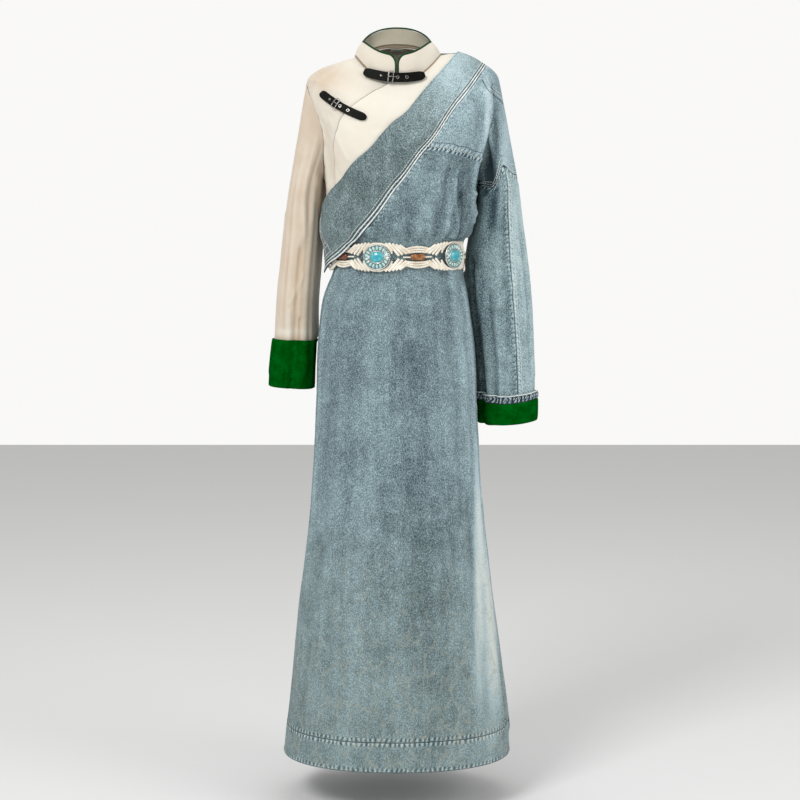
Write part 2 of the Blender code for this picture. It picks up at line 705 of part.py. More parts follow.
def sag_places(row, share):
    """Let the middle of a row of places hang lower."""
    for index, place in enumerate(row):
        place.y += SEAM_SAG * share * math.sin(math.pi * index / (len(row) - 1))


def bodice_rows():
    near = [band(station, 1) for station in BODICE_STATIONS]
    far = [Vector((90, mix(UNDERARM, BLOUSE, i / BODICE_ROWS), 0)) for i in range(BODICE_ROWS + 1)]
    near += [Vector((angle, level, 0)) for angle, level in UNDER_BAND]
    far += [Vector((90, level, 0)) for _, level in UNDER_BAND]
    for place in near:
        place.z = 0.0
    rows = between(near, far, TOP_COLUMNS)
    for index, row in enumerate(rows[:BODICE_ROWS]):
        sag_places(row, (1 - index / BODICE_ROWS) ** 2)
    return rows


def robe_top():
    yoke("robe_front_yoke", False)
    yoke("robe_back_yoke", True)
    stations = YOKE_STATIONS + BODICE_STATIONS[1:] + END_STATIONS[1:]
    for name, back in (("front", False), ("back", True)):
        edges = ("top", "first", "last")
        rows = bodice_rows()
        panel(f"robe_{name}_bodice", rows, ROBE_OUT, DENIM_WALL, "washed_denim", edges, ROBE_FOLDS, back)
        rows = [[band(station, i / 3) for i in range(4)] for station in stations]
        edges = ("top", "bottom", "last")
        panel(f"lapel_{name}", rows, ROBE_OUT, DENIM_WALL, "lapel_denim", edges, ROBE_FOLDS, back)


def robe_sleeve():
    stations = [1 + 0.45 * i for i in range(13)] + [6.93]
    for name, start in (("outer", -126), ("inner", 54)):
        phis = [start + STEP_ANGLE * i for i in range(len(HALF_ROUND))]
        outer = robe_arm.grid(phis, stations, 0)
        inner = robe_arm.grid(phis, stations, DENIM_WALL)
        cloth(f"robe_sleeve_{name}", outer, inner, "sleeve_denim", ("top", "first", "last"))


def skirt():
    levels = [9.2, 9.8, 10.4] + [11.1 + 0.6 * i for i in range(9)] + [HEM_SEAM]
    for name, start in (("front", -90), ("back", 90)):
        angles = [start + 9 * i for i in range(21)]
        rows = [[Vector((a, level, 0)) for a in angles] for level in levels]
        edges = ("top", "bottom", "first", "last")
        panel(f"robe_skirt_{name}", rows, SKIRT_OUT, DENIM_WALL, "washed_denim", edges, SKIRT_FOLDS)
        rows = [[Vector((a, level, 0)) for a in angles] for level in (HEM_SEAM, 17.5, HEM)]
        edges = ("top", "first", "last")
        panel(f"hem_band_{name}", rows, SKIRT_OUT, DENIM_WALL, "washed_denim", edges, SKIRT_FOLDS)


# Leather closures


def strap_frame(closure, share):
    """Point, direction along, direction across and direction out of a strap's middle line."""
    ends = [Vector(p) * MM for p in (closure.left, closure.middle, closure.right)]

    def at(s):
        return ends[0] * ((1 - s) * (1 - 2 * s)) + ends[1] * (4 * s * (1 - s)) + ends[2] * (s * (2 * s - 1))

    along = (at(share + 0.01) - at(share - 0.01)).normalized()
    out = Vector((0, -1, STRAP_LEAN))
    out = (out - along * out.dot(along)).normalized()
    return at(share), along, out.cross(along).normalized(), out


def strap(name, closure, start, end, round_start, round_end, lift):
    shares = [mix(start, end, smooth(i / 8) * 0.5 + i / 16) for i in range(9)]
    length = (Vector(closure.right) - Vector(closure.left)).length
    outer, inner = [], []
    for share in shares:
        p, along, across, out = strap_frame(closure, share)
        half = closure.height / 2
        reach = min(
            (share - start) * length if round_start else half,
            (end - share) * length if round_end else half,
        )
        half *= 0.45 + 0.55 * math.sqrt(1 - (1 - min(reach / half, 1.0)) ** 2)
        base = p + out * lift
        outer.append([base + across * half * f * MM + out * STRAP_WALL for f in (-1, -0.5, 0.5, 1)])
        inner.append([base + across * half * f * MM for f in (-1, -0.5, 0.5, 1)])
    wall(name, outer, inner, "black_leather")


def turned(name, profile, steps, frame, stretch, look):
    """A turned piece: its profile from the top down its outer side, stretched to an oval."""
    mesh = bpy.data.meshes.new(name)
    points = [(radius, 0.0, height) for radius, height in profile]
    mesh.from_pydata(points, [(i, i + 1) for i in range(len(points) - 1)], [])
    lathe = bpy.data.objects.new(name + "_lathe", mesh)
    robe.objects.link(lathe)
    screw = lathe.modifiers.new("Screw", "SCREW")
    screw.steps = steps
    screw.render_steps = steps
    screw.use_merge_vertices = True
    screw.merge_threshold = 0.01 * MM
    bpy.context.view_layer.update()
    shaped = lathe.evaluated_get(bpy.context.evaluated_depsgraph_get())
    solid = bpy.data.meshes.new_from_object(shaped)
    bpy.data.objects.remove(lathe, do_unlink=True)
    solid.name = name
    solid.transform(Matrix.Diagonal((*stretch, 1.0)))
    solid.transform(frame)
    shape = bmesh.new()
    shape.from_mesh(solid)
    bmesh.ops.remove_doubles(shape, verts=shape.verts, dist=0.005 * MM)
    if shape.calc_volume(signed=True) < 0:
        bmesh.ops.reverse_faces(shape, faces=shape.faces)
    shape.to_mesh(solid)
    shape.free()
    return finish(name, solid, look)


def frame_at(point, along, across, out):
    turn = Matrix((along, across, out)).transposed().to_4x4()
    turn.translation = point
    return turn


def closures():
    for closure in CLOSURES:
        name = f"closure_{closure.name}"
        half = closure.height / 2 * MM
        strap(f"{name}_strap_right", closure, closure.buckle - 0.03, 1.0, False, True, 0)
        strap(f"{name}_strap_left", closure, 0.0, closure.buckle - 0.035, True, False, 0)
        p, along, across, out = strap_frame(closure, closure.buckle)
        lift = out * (STRAP_WALL + 1.1 * MM + GAP)
        corners = ((-0.8, 1), (-1, 0.8), (-1, -0.8), (-0.8, -1), (0.8, -1), (1, -0.8), (1, 0.8), (0.8, 1))
        loop = [p + lift + along * u * 4.5 * MM + across * v * (half + 2 * MM) for u, v in corners]
        tube(f"{name}_buckle", loop, 1.1 * MM, "silver_metal", 1, cyclic=True)
        tip = strap_frame(closure, closure.prong_hole)
        lift = out * (STRAP_WALL + 3.9 * MM)
        line = [p + lift - along * 4.5 * MM, p + lift + along * 6 * MM]
        line.append(tip[0] + tip[3] * (STRAP_WALL + 2.6 * MM))
        tube(f"{name}_prong", line, 0.8 * MM, "silver_metal", 1)
        for label, share in (("prong", closure.prong_hole), ("spare", closure.spare_hole)):
            p, along, across, out = strap_frame(closure, share)
            frame = frame_at(p + out * (STRAP_WALL + GAP), along, across, out)
            ring = [(2.0, 0.9), (2.9, 0.9), (3.6, 0.0), (1.7, 0.0), (2.0, 0.9)]
            ring = [(radius * MM, height * MM) for radius, height in ring]
            turned(f"{name}_eyelet_{label}", ring, 10, frame, (1, 1, 1), "silver_metal")
        p, along, across, out = strap_frame(closure, closure.rivet)
        frame = frame_at(p + out * (STRAP_WALL + GAP), along, across, out)
        dome = [(0.0, 1.6 * MM), (1.6 * MM, 1.2 * MM), (2.6 * MM, 0.0), (0.0, 0.0)]
        turned(f"{name}_rivet", dome, 10, frame, (1, 1, 1), "silver_metal")


# Belt


def belt_point(angle, height, out):
    """A point of the belt, its height counted from the belt's middle line."""
    point = on_body(Vector((angle, WAIST - height / BELT_LEVEL, 0)), out)
    point.z = body(angle, WAIST).z + height
    return point


def belt_angles():
    """Angle round the waist for each millimetre along the belt from the first plate."""
    table = [(0.0, FIRST_PLATE_ANGLE)]
    out = BELT_IN + BELT_WALL / 2
    for direction in (1, -1):
        length, angle = 0.0, FIRST_PLATE_ANGLE
        last = belt_point(angle, 0, out)
        while abs(angle - FIRST_PLATE_ANGLE) < 300:
            angle += direction * 0.5
            here = belt_point(angle, 0, out)
            length += (here - last).length
            last = here
            table.append((direction * length, angle))
    return sorted(table)


BELT_TABLE = belt_angles()


def belt_angle(along):
    for (a, first), (b, second) in zip(BELT_TABLE, BELT_TABLE[1:]):
        if a <= along <= b:
            return mix(first, second, (along - a) / (b - a))
    raise ValueError("past the end of the belt")


def belt_frame(along, out):
    angle = belt_angle(along)
    p = belt_point(angle, 0, out)
    away = body_normal(angle, WAIST)
    away.z = 0
    away.normalize()
    up = Vector((0, 0, 1))
    return p, up.cross(away).normalized(), up, away


def belt_band():
    """Knotted band with an open diamond each side of a plate and an open slot under each bead."""
    per_unit = 18
    start = PLATE_PLACES[0] * PLATE_SPACING - BELT_END
    end = PLATE_PLACES[-1] * PLATE_SPACING + BELT_END
    step = PLATE_SPACING / per_unit
    count = round((end - start) / step)
    heights = (1, 0.25, -0.25, -1)
    outer = [[] for _ in heights]
    inner = [[] for _ in heights]
    cut = set()
    for column in range(count + 1):
        along = mix(start, end, column / count)
        unit = abs((along / PLATE_SPACING + 0.5) % 1 - 0.5)
        half = mix(BELT_HALF_HEIGHT, BEAD_HALF_HEIGHT, smooth((unit - 0.16) / 0.18))
        near_end = 1 - min(along - start, end - along) / BELT_TAPER
        half = mix(half, TIE_HALF_HEIGHT + 2 * MM, smooth(near_end))
        open_half = mix(6.5 * MM, 1.5 * MM, smooth((unit - 0.20) / 0.13))
        under_bead = unit > 0.38
        angle = belt_angle(along)
        for row, share in enumerate(heights):
            height = half * share
            if abs(share) == 0.25:
                height = math.copysign(BEAD_RADIUS + 2 * GAP if under_bead else open_half, share)
            rib = 1.2 * MM * smooth((unit - 0.10) / 0.08) * (1 - smooth((unit - 0.34) / 0.05))
            outer[row].append(belt_point(angle, height, BELT_IN + BELT_WALL + rib))
            inner[row].append(belt_point(angle, height, BELT_IN))
    for column in range(count):
        along = mix(start, end, (column + 0.5) / count)
        unit = abs((along / PLATE_SPACING + 0.5) % 1 - 0.5)
        inside = min(BEAD_PLACES) - 0.2 < along / PLATE_SPACING < max(BEAD_PLACES) + 0.2
        if 0.19 < unit < 0.30 or (unit > 0.40 and inside):
            cut.add((1, column))
    wall("belt_band", outer, inner, "belt_cord", cut=cut)


def belt_fittings():
    for number, place in enumerate(PLATE_PLACES, 1):
        frame = frame_at(*belt_frame(place * PLATE_SPACING, BELT_IN + BELT_WALL + 3.25 * MM))
        wide, high = PLATE_HALF_WIDTH, PLATE_HALF_HEIGHT
        plate = [(0.0, 1.6), (0.86, 1.6), (0.93, 2.6), (1.0, 1.6), (1.0, 0.0), (0.0, 0.0)]
        profile = [(radius * wide, height * MM) for radius, height in plate]
        turned(f"belt_plate_{number}", profile, 20, frame, (1, high / wide, 1), "silver_metal")
        frame.translation += frame.col[2].xyz * (1.6 * MM + GAP)
        dome = [(0.0, 4.2), (0.35, 3.9), (0.7, 2.8), (0.92, 1.3), (1.0, 0.0), (0.0, 0.0)]
        profile = [(radius * STONE_HALF_WIDTH * 0.92, height * MM) for radius, height in dome]
        squeeze = STONE_HALF_HEIGHT / STONE_HALF_WIDTH
        turned(f"belt_stone_{number}", profile, 16, frame, (1, squeeze, 1), "turquoise_stone")
    for number, place in enumerate(BEAD_PLACES, 1):
        p, along, up, out = belt_frame(place * PLATE_SPACING, BELT_IN + BELT_WALL / 2 + 1.8 * MM)
        frame = frame_at(p - along * BEAD_LENGTH / 2, out, up, along)
        barrel = [(0.0, 1.0), (0.6, 1.0), (0.92, 0.8), (1.0, 0.5), (0.92, 0.2), (0.6, 0.0), (0.0, 0.0)]
        profile = [(radius * BEAD_RADIUS * 0.7, height * BEAD_LENGTH) for radius, height in barrel]
        turned(f"belt_bead_{number}", profile, 12, frame, (1, 1.42, 1), "amber_bead")


def belt_tie():
    start = PLATE_PLACES[-1] * PLATE_SPACING + BELT_END
    angle = belt_angle(start)
    end_angle = belt_angle(PLATE_PLACES[0] * PLATE_SPACING - BELT_END) + 360
    rows, columns = (1, 0, -1), 20
    outer = [[] for _ in rows]
    inner = [[] for _ in rows]
    gap_angle = math.degrees(2 * GAP / (110 * MM))
    for column in range(columns + 1):
        here = mix(angle + gap_angle, end_angle - gap_angle, column / columns)
        pinch = 1 - 0.45 * math.exp(-(((here - KNOT_ANGLE) / 12) ** 2))
        for row, share in enumerate(rows):
            height = share * TIE_HALF_HEIGHT * pinch
            outer[row].append(belt_point(here, height, BELT_IN + BELT_WALL - 0.2 * MM))
            inner[row].append(belt_point(here, height, BELT_IN))
    wall("belt_tie", outer, inner, "belt_cord")
    p = belt_point(KNOT_ANGLE, 0, BELT_IN + BELT_WALL + 5.0 * MM)
    away = body_normal(KNOT_ANGLE, WAIST)
    away.z = 0
    away.normalize()
    side = Vector((0, 0, 1)).cross(away)
    knot = [(0.0, 5.2), (2.6, 4.5), (4.5, 2.6), (5.2, 0.0), (4.5, -2.6), (2.6, -4.5), (0.0, -5.2)]
    frame = frame_at(p, side, Vector((0, 0, 1)), away)
    turned("belt_knot", [(r * MM, h * MM) for r, h in knot], 12, frame, (1.2, 1.3, 0.9), "belt_cord")
    for number, (drift, length) in enumerate(((-1, 44), (1, 58)), 1):
        top = p + Vector((0, 0, -6.8 * MM - GAP)) + side * drift * 3.2 * MM
        path = []
        for i in range(10):
            share = i / 9
            sway = side * drift * 9 * MM + away * 3 * MM + Vector((0, 0, -length * MM))
            path.append(top + sway * share)
        tube(f"belt_tail_{number}", path, TAIL_RADIUS, "belt_cord", 2)


shirt()
shirt_sleeve()
SHIRT_CUFF = (
    (4.02, 4.6, 2.8), (4.28, 5.4, 3.6), (4.54, 5.9, 4.1), (4.8, 6.4, 4.6), (4.93, 6.6, 4.8), (4.956, 2.9, 0.4),
)
turned_cuff("shirt_cuff", shirt_arm, SHIRT_CUFF, "green_knit")
collar()
neck_label()
robe_top()
robe_sleeve()
ROBE_CUFF = ((6.232, 6.4, 4.6), (6.5, 6.8, 5.0), (6.75, 7.0, 5.2), (6.9, 6.8, 5.0), (6.938, 2.9, 0.4))
turned_cuff("robe_cuff", robe_arm, ROBE_CUFF, "green_knit")
CUFF_EDGE = ((6.04, 6.0, 4.4), (6.13, 6.2, 4.6), (6.225, 6.4, 4.6))
turned_cuff("robe_cuff_edge", robe_arm, CUFF_EDGE, "dark_denim")
skirt()
closures()
belt_band()
belt_fittings()
belt_tie()
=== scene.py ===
import json
import math
from collections import namedtuple

import bmesh
import bpy
import numpy as np
from mathutils import Matrix, Vector, noise

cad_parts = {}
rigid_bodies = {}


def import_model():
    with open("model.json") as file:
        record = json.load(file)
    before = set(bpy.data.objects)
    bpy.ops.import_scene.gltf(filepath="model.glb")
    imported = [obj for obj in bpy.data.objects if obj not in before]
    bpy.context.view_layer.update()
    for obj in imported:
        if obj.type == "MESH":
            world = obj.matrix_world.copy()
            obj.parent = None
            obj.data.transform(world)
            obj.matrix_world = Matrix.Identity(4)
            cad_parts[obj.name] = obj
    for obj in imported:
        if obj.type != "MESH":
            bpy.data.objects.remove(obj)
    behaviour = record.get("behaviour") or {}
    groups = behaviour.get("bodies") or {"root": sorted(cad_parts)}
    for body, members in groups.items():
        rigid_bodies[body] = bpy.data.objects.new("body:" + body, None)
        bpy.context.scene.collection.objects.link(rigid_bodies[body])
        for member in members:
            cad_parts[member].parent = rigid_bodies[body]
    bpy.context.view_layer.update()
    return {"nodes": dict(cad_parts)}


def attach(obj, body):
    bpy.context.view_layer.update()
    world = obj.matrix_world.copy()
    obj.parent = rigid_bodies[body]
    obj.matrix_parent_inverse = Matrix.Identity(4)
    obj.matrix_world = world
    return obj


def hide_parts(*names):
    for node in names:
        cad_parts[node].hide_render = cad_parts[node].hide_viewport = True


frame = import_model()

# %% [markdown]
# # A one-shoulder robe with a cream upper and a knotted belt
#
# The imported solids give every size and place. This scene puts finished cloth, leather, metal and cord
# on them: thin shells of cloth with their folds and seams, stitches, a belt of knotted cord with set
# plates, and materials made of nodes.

MM = 0.001

# %% [markdown]
# ## The form under the cloth
#
# The solids were drawn on rings that run down the garment, each with its own half widths, depths and heights. The same
# rings are used here, so that finer cloth lies where the solid cloth lies. A place on the garment is an angle round the
# wearer (0 in front, 90 on the wearer's left), a level down the rings and a lift in millimetres. Reading a smooth curve
# through the rings is better than bending a plain tube, because every fold can then be placed one by one.

# %% Rings of the garment
ROUNDNESS = 2.0 / 2.2
Ring = namedtuple("Ring", "place right left right_z left_z front front_z back back_z")
RINGS = (
    Ring("neck", 76, 80, 16, 17, 66, -36, 58, 40),
    Ring("collar bone", 112, 112, 5, 19, 86, -66, 74, 26),
    Ring("shoulder", 146, 150, -8, 4, 102, -102, 90, -4),
    Ring("shoulder tip", 168, 184, -34, -28, 108, -137, 98, -52),
    Ring("middle of armhole", 160, 176, -100, -95, 112, -174, 102, -115),
    Ring("underarm", 136, 146, -205, -208, 112, -217, 104, -197),
    Ring("chest", 132, 141, -262, -260, 108, -266, 99, -258),
    Ring("blouse", 128, 134, -300, -298, 106, -302, 97, -297),
    Ring("top of belt", 117, 121, -322, -319, 100, -323, 91, -319),
    Ring("waist", 114, 118, -348, -345, 97, -350, 88, -345),
    Ring("bottom of belt", 118, 121, -377, -373, 100, -378, 92, -373),
    Ring("high hip", 138, 132, -432, -430, 108, -433, 102, -430),
    Ring("hip", 147, 144, -520, -520, 114, -521, 111, -520),
    Ring("thigh", 151, 149, -640, -640, 119, -641, 119, -640),
    Ring("knee", 162, 160, -820, -820, 130, -821, 130, -820),
    Ring("shin", 184, 180, -1000, -1000, 144, -1001, 146, -1000),
    Ring("above hem", 199, 200, -1150, -1150, 154, -1151, 158, -1150),
    Ring("hem seam", 207, 208, -1219, -1219, 158, -1219, 163, -1219),
    Ring("hem", 213, 212, -1273, -1273, 162, -1273, 167, -1273),
)
SIZES = np.array([ring[1:] for ring in RINGS]) * MM
SHOULDER_TIP, UNDERARM, BLOUSE, WAIST, HEM_SEAM, HEM = 3, 5, 7, 9, 17, 18


def curve(values, place):
    """A smooth curve through values at 0, 1, 2 and so on."""
    values, place = np.asarray(values, float), np.asarray(place, float)
    first = np.clip(np.floor(place).astype(int), 0, len(values) - 2)
    f = (place - first).reshape(place.shape + (1,) * (values.ndim - 1))
    before, start = values[np.maximum(first - 1, 0)], values[first]
    end, after = values[first + 1], values[np.minimum(first + 2, len(values) - 1)]
    rise = (end - before) / 2 * (f**3 - 2 * f**2 + f) + (after - start) / 2 * (f**3 - f**2)
    return start * (2 * f**3 - 3 * f**2 + 1) + end * (3 * f**2 - 2 * f**3) + rise


def unit(vectors):
    return vectors / np.maximum(np.linalg.norm(vectors, axis=-1, keepdims=True), 1e-9)


def smooth(share):
    share = np.clip(share, 0.0, 1.0)
    return share * share * (3 - 2 * share)


def body(angle, level):
    """Points of the filled garment."""
    angle, level = np.broadcast_arrays(np.asarray(angle, float), np.asarray(level, float))
    right, left, right_z, left_z, front, front_z, back, back_z = np.moveaxis(curve(SIZES, level), -1, 0)
    s, c = np.sin(np.radians(angle)), np.cos(np.radians(angle))
    x = np.where(s > 0, left, -right) * np.abs(s) ** ROUNDNESS
    y = np.where(c > 0, -front, back) * np.abs(c) ** ROUNDNESS
    side_z = right_z + (left_z - right_z) * (1 + s) / 2
    return np.stack([x, y, side_z + (np.where(c > 0, front_z, back_z) - side_z) * c * c], -1)


def body_normal(angle, level):
    angle, level = np.asarray(angle, float), np.asarray(level, float)
    down = body(angle, np.minimum(level + 0.05, HEM)) - body(angle, np.maximum(level - 0.05, 0))
    return unit(np.cross(down, body(angle + 1, level) - body(angle - 1, level)))


Fold = namedtuple("Fold", "place start_round start_down end_round end_down half_width height")


def relief(folds, around, down, round_size, down_size):
    """How far the folds lift the cloth, in metres."""
    around, down = np.broadcast_arrays(np.asarray(around, float), np.asarray(down, float))
    total = np.zeros(around.shape)
    for fold in folds:
        turned = around - np.round((around - fold.start_round) / 360) * 360
        start = np.array([fold.start_round * round_size, fold.start_down * down_size])
        line = np.array([fold.end_round * round_size, fold.end_down * down_size]) - start
        x, y = turned * round_size - start[0], down * down_size - start[1]
        share = np.clip((x * line[0] + y * line[1]) / (line @ line), 0, 1)
        away = np.hypot(x - share * line[0], y - share * line[1]) / fold.half_width
        total += np.where(away < 1, fold.height * MM * np.cos(np.minimum(away, 1) * math.pi / 2) ** 2, 0)
    return total


def on_body(places, out, folds=()):
    """Points of a layer at places, each an angle, a level and a lift in millimetres."""
    places = np.asarray(places, float)
    angle, level, lift = np.moveaxis(places, -1, 0)
    height = out + lift * MM + relief(folds, angle, level, 2.1, 62.0)
    return body(angle, level) + body_normal(angle, level) * height[..., None]


def find(x, z):
    """The place on the front seen at x and z, in millimetres."""
    angle = 0.0
    for _ in range(24):
        low, high = 0.0, float(HEM)
        for _ in range(26):
            level = (low + high) / 2
            low, high = (level, high) if body(angle, level)[2] > z * MM else (low, level)
        half = curve(SIZES[:, 1] if x > 0 else SIZES[:, 0], level)
        angle = math.copysign(math.degrees(math.asin(min(abs(x) * MM / half, 1) ** (1 / ROUNDNESS))), x)
    return np.array([angle, level, 0.0])


def shoulder_level(x):
    low, high = 0.0, float(SHOULDER_TIP)
    for _ in range(26):
        middle = (low + high) / 2
        low, high = (middle, high) if curve(SIZES[:, 1], middle) < x * MM else (low, middle)
    return low


print("chest half width", round(float(body(90, 6)[0]), 3))

# %% [markdown]
# ## The diagonal band and the sleeves
#
# The band is a surface with a station along it and a share across it. Its edges are set from the
# front view. Each sleeve is a surface too, with an angle round it and a station down it, from the
# armhole through its rings.

# %% Band and sleeve surfaces
Band = namedtuple("Band", "upper_x upper_z lower_x lower_z upper_lift lower_lift bulge")
LAPEL = (
    Band(111, 0, 161, 0, 2.0, 0.0, 0.0),
    Band(59, -41, 106, -82, 1.0, 0.0, 0.5),
    Band(6, -102, 55, -155, 0.5, 0.0, 1.0),
    Band(-51, -160, 14, -210, 0.5, 0.0, 1.0),
    Band(-92, -202, -21, -257, 1.0, 0.5, 1.0),
    Band(-116, -229, -57, -303, 2.0, 5.0, 1.5),
    Band(-129, -252, -93, -349, 4.0, 12.2, 6.0),
    Band(-140, -274, -140, -384, 5.0, 13.5, 9.0),
)
YOKE_STATION, BELT_STATION, LAST_STATION = 2, 5, len(LAPEL) - 1


def band_edge(side):
    first = LAPEL[0]
    x, lift = (first.upper_x, first.upper_lift) if side == 0 else (first.lower_x, first.lower_lift)
    places = [np.array([90.0, shoulder_level(x), lift])]
    for row in LAPEL[1:]:
        x, z, lift = row[0:2] + row[4:5] if side == 0 else row[2:4] + row[5:6]
        places.append(find(x, z) + [0, 0, lift])
    return np.array(places)


BAND_EDGES = band_edge(0), band_edge(1)
BULGES = np.array([row.bulge for row in LAPEL])


def band(station, across):
    """Places on the band, 0 at its upper edge and 1 at its lower edge."""
    station, across = np.broadcast_arrays(np.asarray(station, float), np.asarray(across, float))
    upper, lower = curve(BAND_EDGES[0], station), curve(BAND_EDGES[1], station)
    places = upper + (lower - upper) * across[..., None]
    places[..., 2] += curve(BULGES, station) * np.sin(math.pi * across)
    places[..., 0] = np.maximum(places[..., 0], -90)
    return places


def behind(places):
    """The same places on the back."""
    places = np.array(places, float)
    places[..., 0] = 180 - places[..., 0]
    return places


Armhole = namedtuple("Armhole", "side front_swing back_swing")


def armhole(hole, phi):
    """Places on the armhole: 0 at the shoulder, 90 in front, 180 under the arm."""
    phi = np.asarray(phi, float)
    share = (1 - np.cos(np.radians(phi))) / 2
    swing = np.clip(np.sin(math.pi * share), 0, 1) ** 0.6
    turn = np.where(phi % 360 > 180, hole.back_swing, -hole.front_swing) * swing
    level = SHOULDER_TIP + (UNDERARM - SHOULDER_TIP) * share
    return np.stack([hole.side * (90 + turn), level, np.zeros(phi.shape)], -1)


class Arm:
    """A sleeve: phi round it and station down it, 0 at the armhole."""

    def __init__(self, hole, rings, out, body_folds, folds):
        self.hole, self.rings, self.out = hole, rings, out
        self.body_folds, self.folds = body_folds, folds

    def plain(self, phi, station):
        phi = np.asarray(phi, float)
        c, s = np.cos(np.radians(phi)), np.sin(np.radians(phi))
        lines = [on_body(armhole(self.hole, phi), self.out, self.body_folds)]
        for ring in self.rings:
            x = self.hole.side * (ring.x + ring.half_width * c)
            lines.append(np.stack([x, ring.y - ring.half_depth * s, ring.z + ring.tilt * c], -1) * MM)
        return curve(np.array(lines), np.asarray(station, float))

    def normal(self, phi, station):
        phi, station = np.asarray(phi, float), np.asarray(station, float)
        down = self.plain(phi, np.minimum(station + 0.05, len(self.rings)))
        down = down - self.plain(phi, np.maximum(station - 0.05, 0))
        across = self.plain(phi + 2, station) - self.plain(phi - 2, station)
        return unit(np.cross(down, across)) * -self.hole.side

    def grid(self, phis, stations, depth=0.0, fade=0.4):
        phis, stations = np.asarray(phis, float), np.asarray(stations, float)
        size = relief(self.folds, phis[None, :] % 360, stations[:, None], 0.9, 80.0)
        size = size * smooth(stations[:, None] / fade) - depth
        return self.plain(phis, stations) + self.normal(phis, stations) * size[..., None]

    def point(self, phi, station, depth=0.0):
        return self.grid([phi], [station], depth)[0, 0]


Cuff = namedtuple("Cuff", "place x y z half_width half_depth tilt")
SHIRT_ARM = (
    Cuff("upper arm", 168, 4, -225, 31, 49, -4),
    Cuff("above elbow", 177, 10, -318, 33, 47, 0),
    Cuff("elbow", 187, 16, -425, 35, 45, 0),
    Cuff("above cuff", 190, 22, -500, 36.5, 44, 1),
    Cuff("cuff end", 197, 24, -594, 37, 43, 2),
)
ROBE_ARM = (
    Cuff("dropped seam", 186, 6, -208, 34, 57, 9),
    Cuff("upper arm", 187, 10, -262, 41, 55, 4),
    Cuff("waist height", 187, 16, -345, 54, 51, 0),
    Cuff("elbow", 193, 22, -430, 57.5, 48, 0),
    Cuff("lower arm", 201, 29, -520, 54, 46, 0),
    Cuff("above cuff", 206, 35, -598, 52, 44, 0),
    Cuff("cuff end", 207, 37, -660, 49, 42, 2),
)
SHIRT_OUT, CROSSED_OUT, ROBE_OUT, SKIRT_OUT = -2.8 * MM, 0.0, 2.4 * MM, 0.0
DENIM_WALL = 1.6 * MM

# %% [markdown]
# ## Camera, floor and light
#
# The camera stands a little above the waist and looks slightly down with a long lens, as for a shop picture. A pale
# sheet under the robe, with large soft lamps, keeps the shadows gentle.

# %% Camera, backdrop and lamps
CAMERA_PLACE, CAMERA_TILT = (0.00555, -3.2, -0.3399), 4.9
FOCAL, MIDDLE = 1730.0, 400  # in picture points


scene = bpy.context.scene
scene.view_settings.view_transform = "Standard"
scene.view_settings.look = "None"
scene.render.resolution_x = scene.render.resolution_y = 800
HEM_Z = -1.273


def lone(name, data, place, turn=(0, 0, 0)):
    """An object that isn't part of the robe."""
    thing = bpy.data.objects.new(name, data)
    thing.location = place
    thing.rotation_euler = turn
    scene.collection.objects.link(thing)
    return thing


lens = bpy.data.cameras.new("camera")
lens.lens = 77.85
lens.sensor_width = 36
camera = lone("camera", lens, CAMERA_PLACE, (math.radians(90 - CAMERA_TILT), 0, 0))
scene.camera = camera


def lamp(name, place, aim, size, watts):
    data = bpy.data.lights.new(name, "AREA")
    data.shape = "RECTANGLE"
    data.size, data.size_y = size
    data.energy = watts
    turn = (Vector(aim) - Vector(place)).to_track_quat("-Z", "Y").to_euler()
    return lone(name, data, place, turn)


lamp("key_lamp", (-1.7, -2.6, 1.9), (0, 0, -0.6), (1.3, 1.3), 78)
lamp("fill_lamp", (2.8, -1.7, 0.5), (0.1, 0, -0.5), (1.6, 2.2), 34)
lamp("top_lamp", (0.2, 0.9, 2.6), (0, 0, -0.6), (2.2, 1.6), 16)
world = bpy.data.worlds.new("studio")
world.use_nodes = True
world.node_tree.nodes["Background"].inputs["Color"].default_value = (1.0, 0.995, 0.985, 1)
rays = world.node_tree.nodes.new("ShaderNodeLightPath")
bright = world.node_tree.nodes.new("ShaderNodeMapRange")
bright.inputs["To Min"].default_value, bright.inputs["To Max"].default_value = 0.58, 0.95
world.node_tree.links.new(rays.outputs["Is Camera Ray"], bright.inputs["Value"])
world.node_tree.links.new(bright.outputs[0], world.node_tree.nodes["Background"].inputs["Strength"])
scene.world = world

bpy.ops.mesh.primitive_plane_add(size=1, location=(0, 1.4, HEM_Z - 0.085))
floor = bpy.context.object
floor.name = "floor"
floor.scale = (14, 9, 1)
bpy.ops.object.transform_apply(location=False, rotation=False, scale=True)
print("camera at", tuple(camera.location))

# %% [markdown]
# ## Materials
#
# Each surface is made of shader nodes. Effects that several materials share, such as the cloudy wash
# of the denim, are node groups that give only values and colours. The weave follows each piece's own
# cloth coordinates, in metres along and across the panel; the large wash follows the object, so that
# it runs on across the seams.

# %% Node helpers
def node(tree, kind, settings=None, **inputs):
    """Add a node; inputs are sockets to link or constants to set."""
    made = tree.nodes.new(kind)
    for key, value in (settings or {}).items():
        setattr(made, key, value)
    for key, value in inputs.items():
        numbered = key[0] == "i" and key[1:].isdigit()
        socket = made.inputs[int(key[1:]) if numbered else key.replace("_", " ")]
        if isinstance(value, bpy.types.NodeSocket):
            tree.links.new(value, socket)
        else:
            socket.default_value = value
    return made


def maths(tree, operation, a, b=0.0, clamp=False):
    return node(tree, "ShaderNodeMath", {"operation": operation, "use_clamp": clamp}, i0=a, i1=b).outputs[0]


def mixed(tree, factor, a, b, blend="MIX"):
    settings = {"data_type": "RGBA", "blend_type": blend}
    return node(tree, "ShaderNodeMix", settings, i0=factor, i6=a, i7=b).outputs[2]


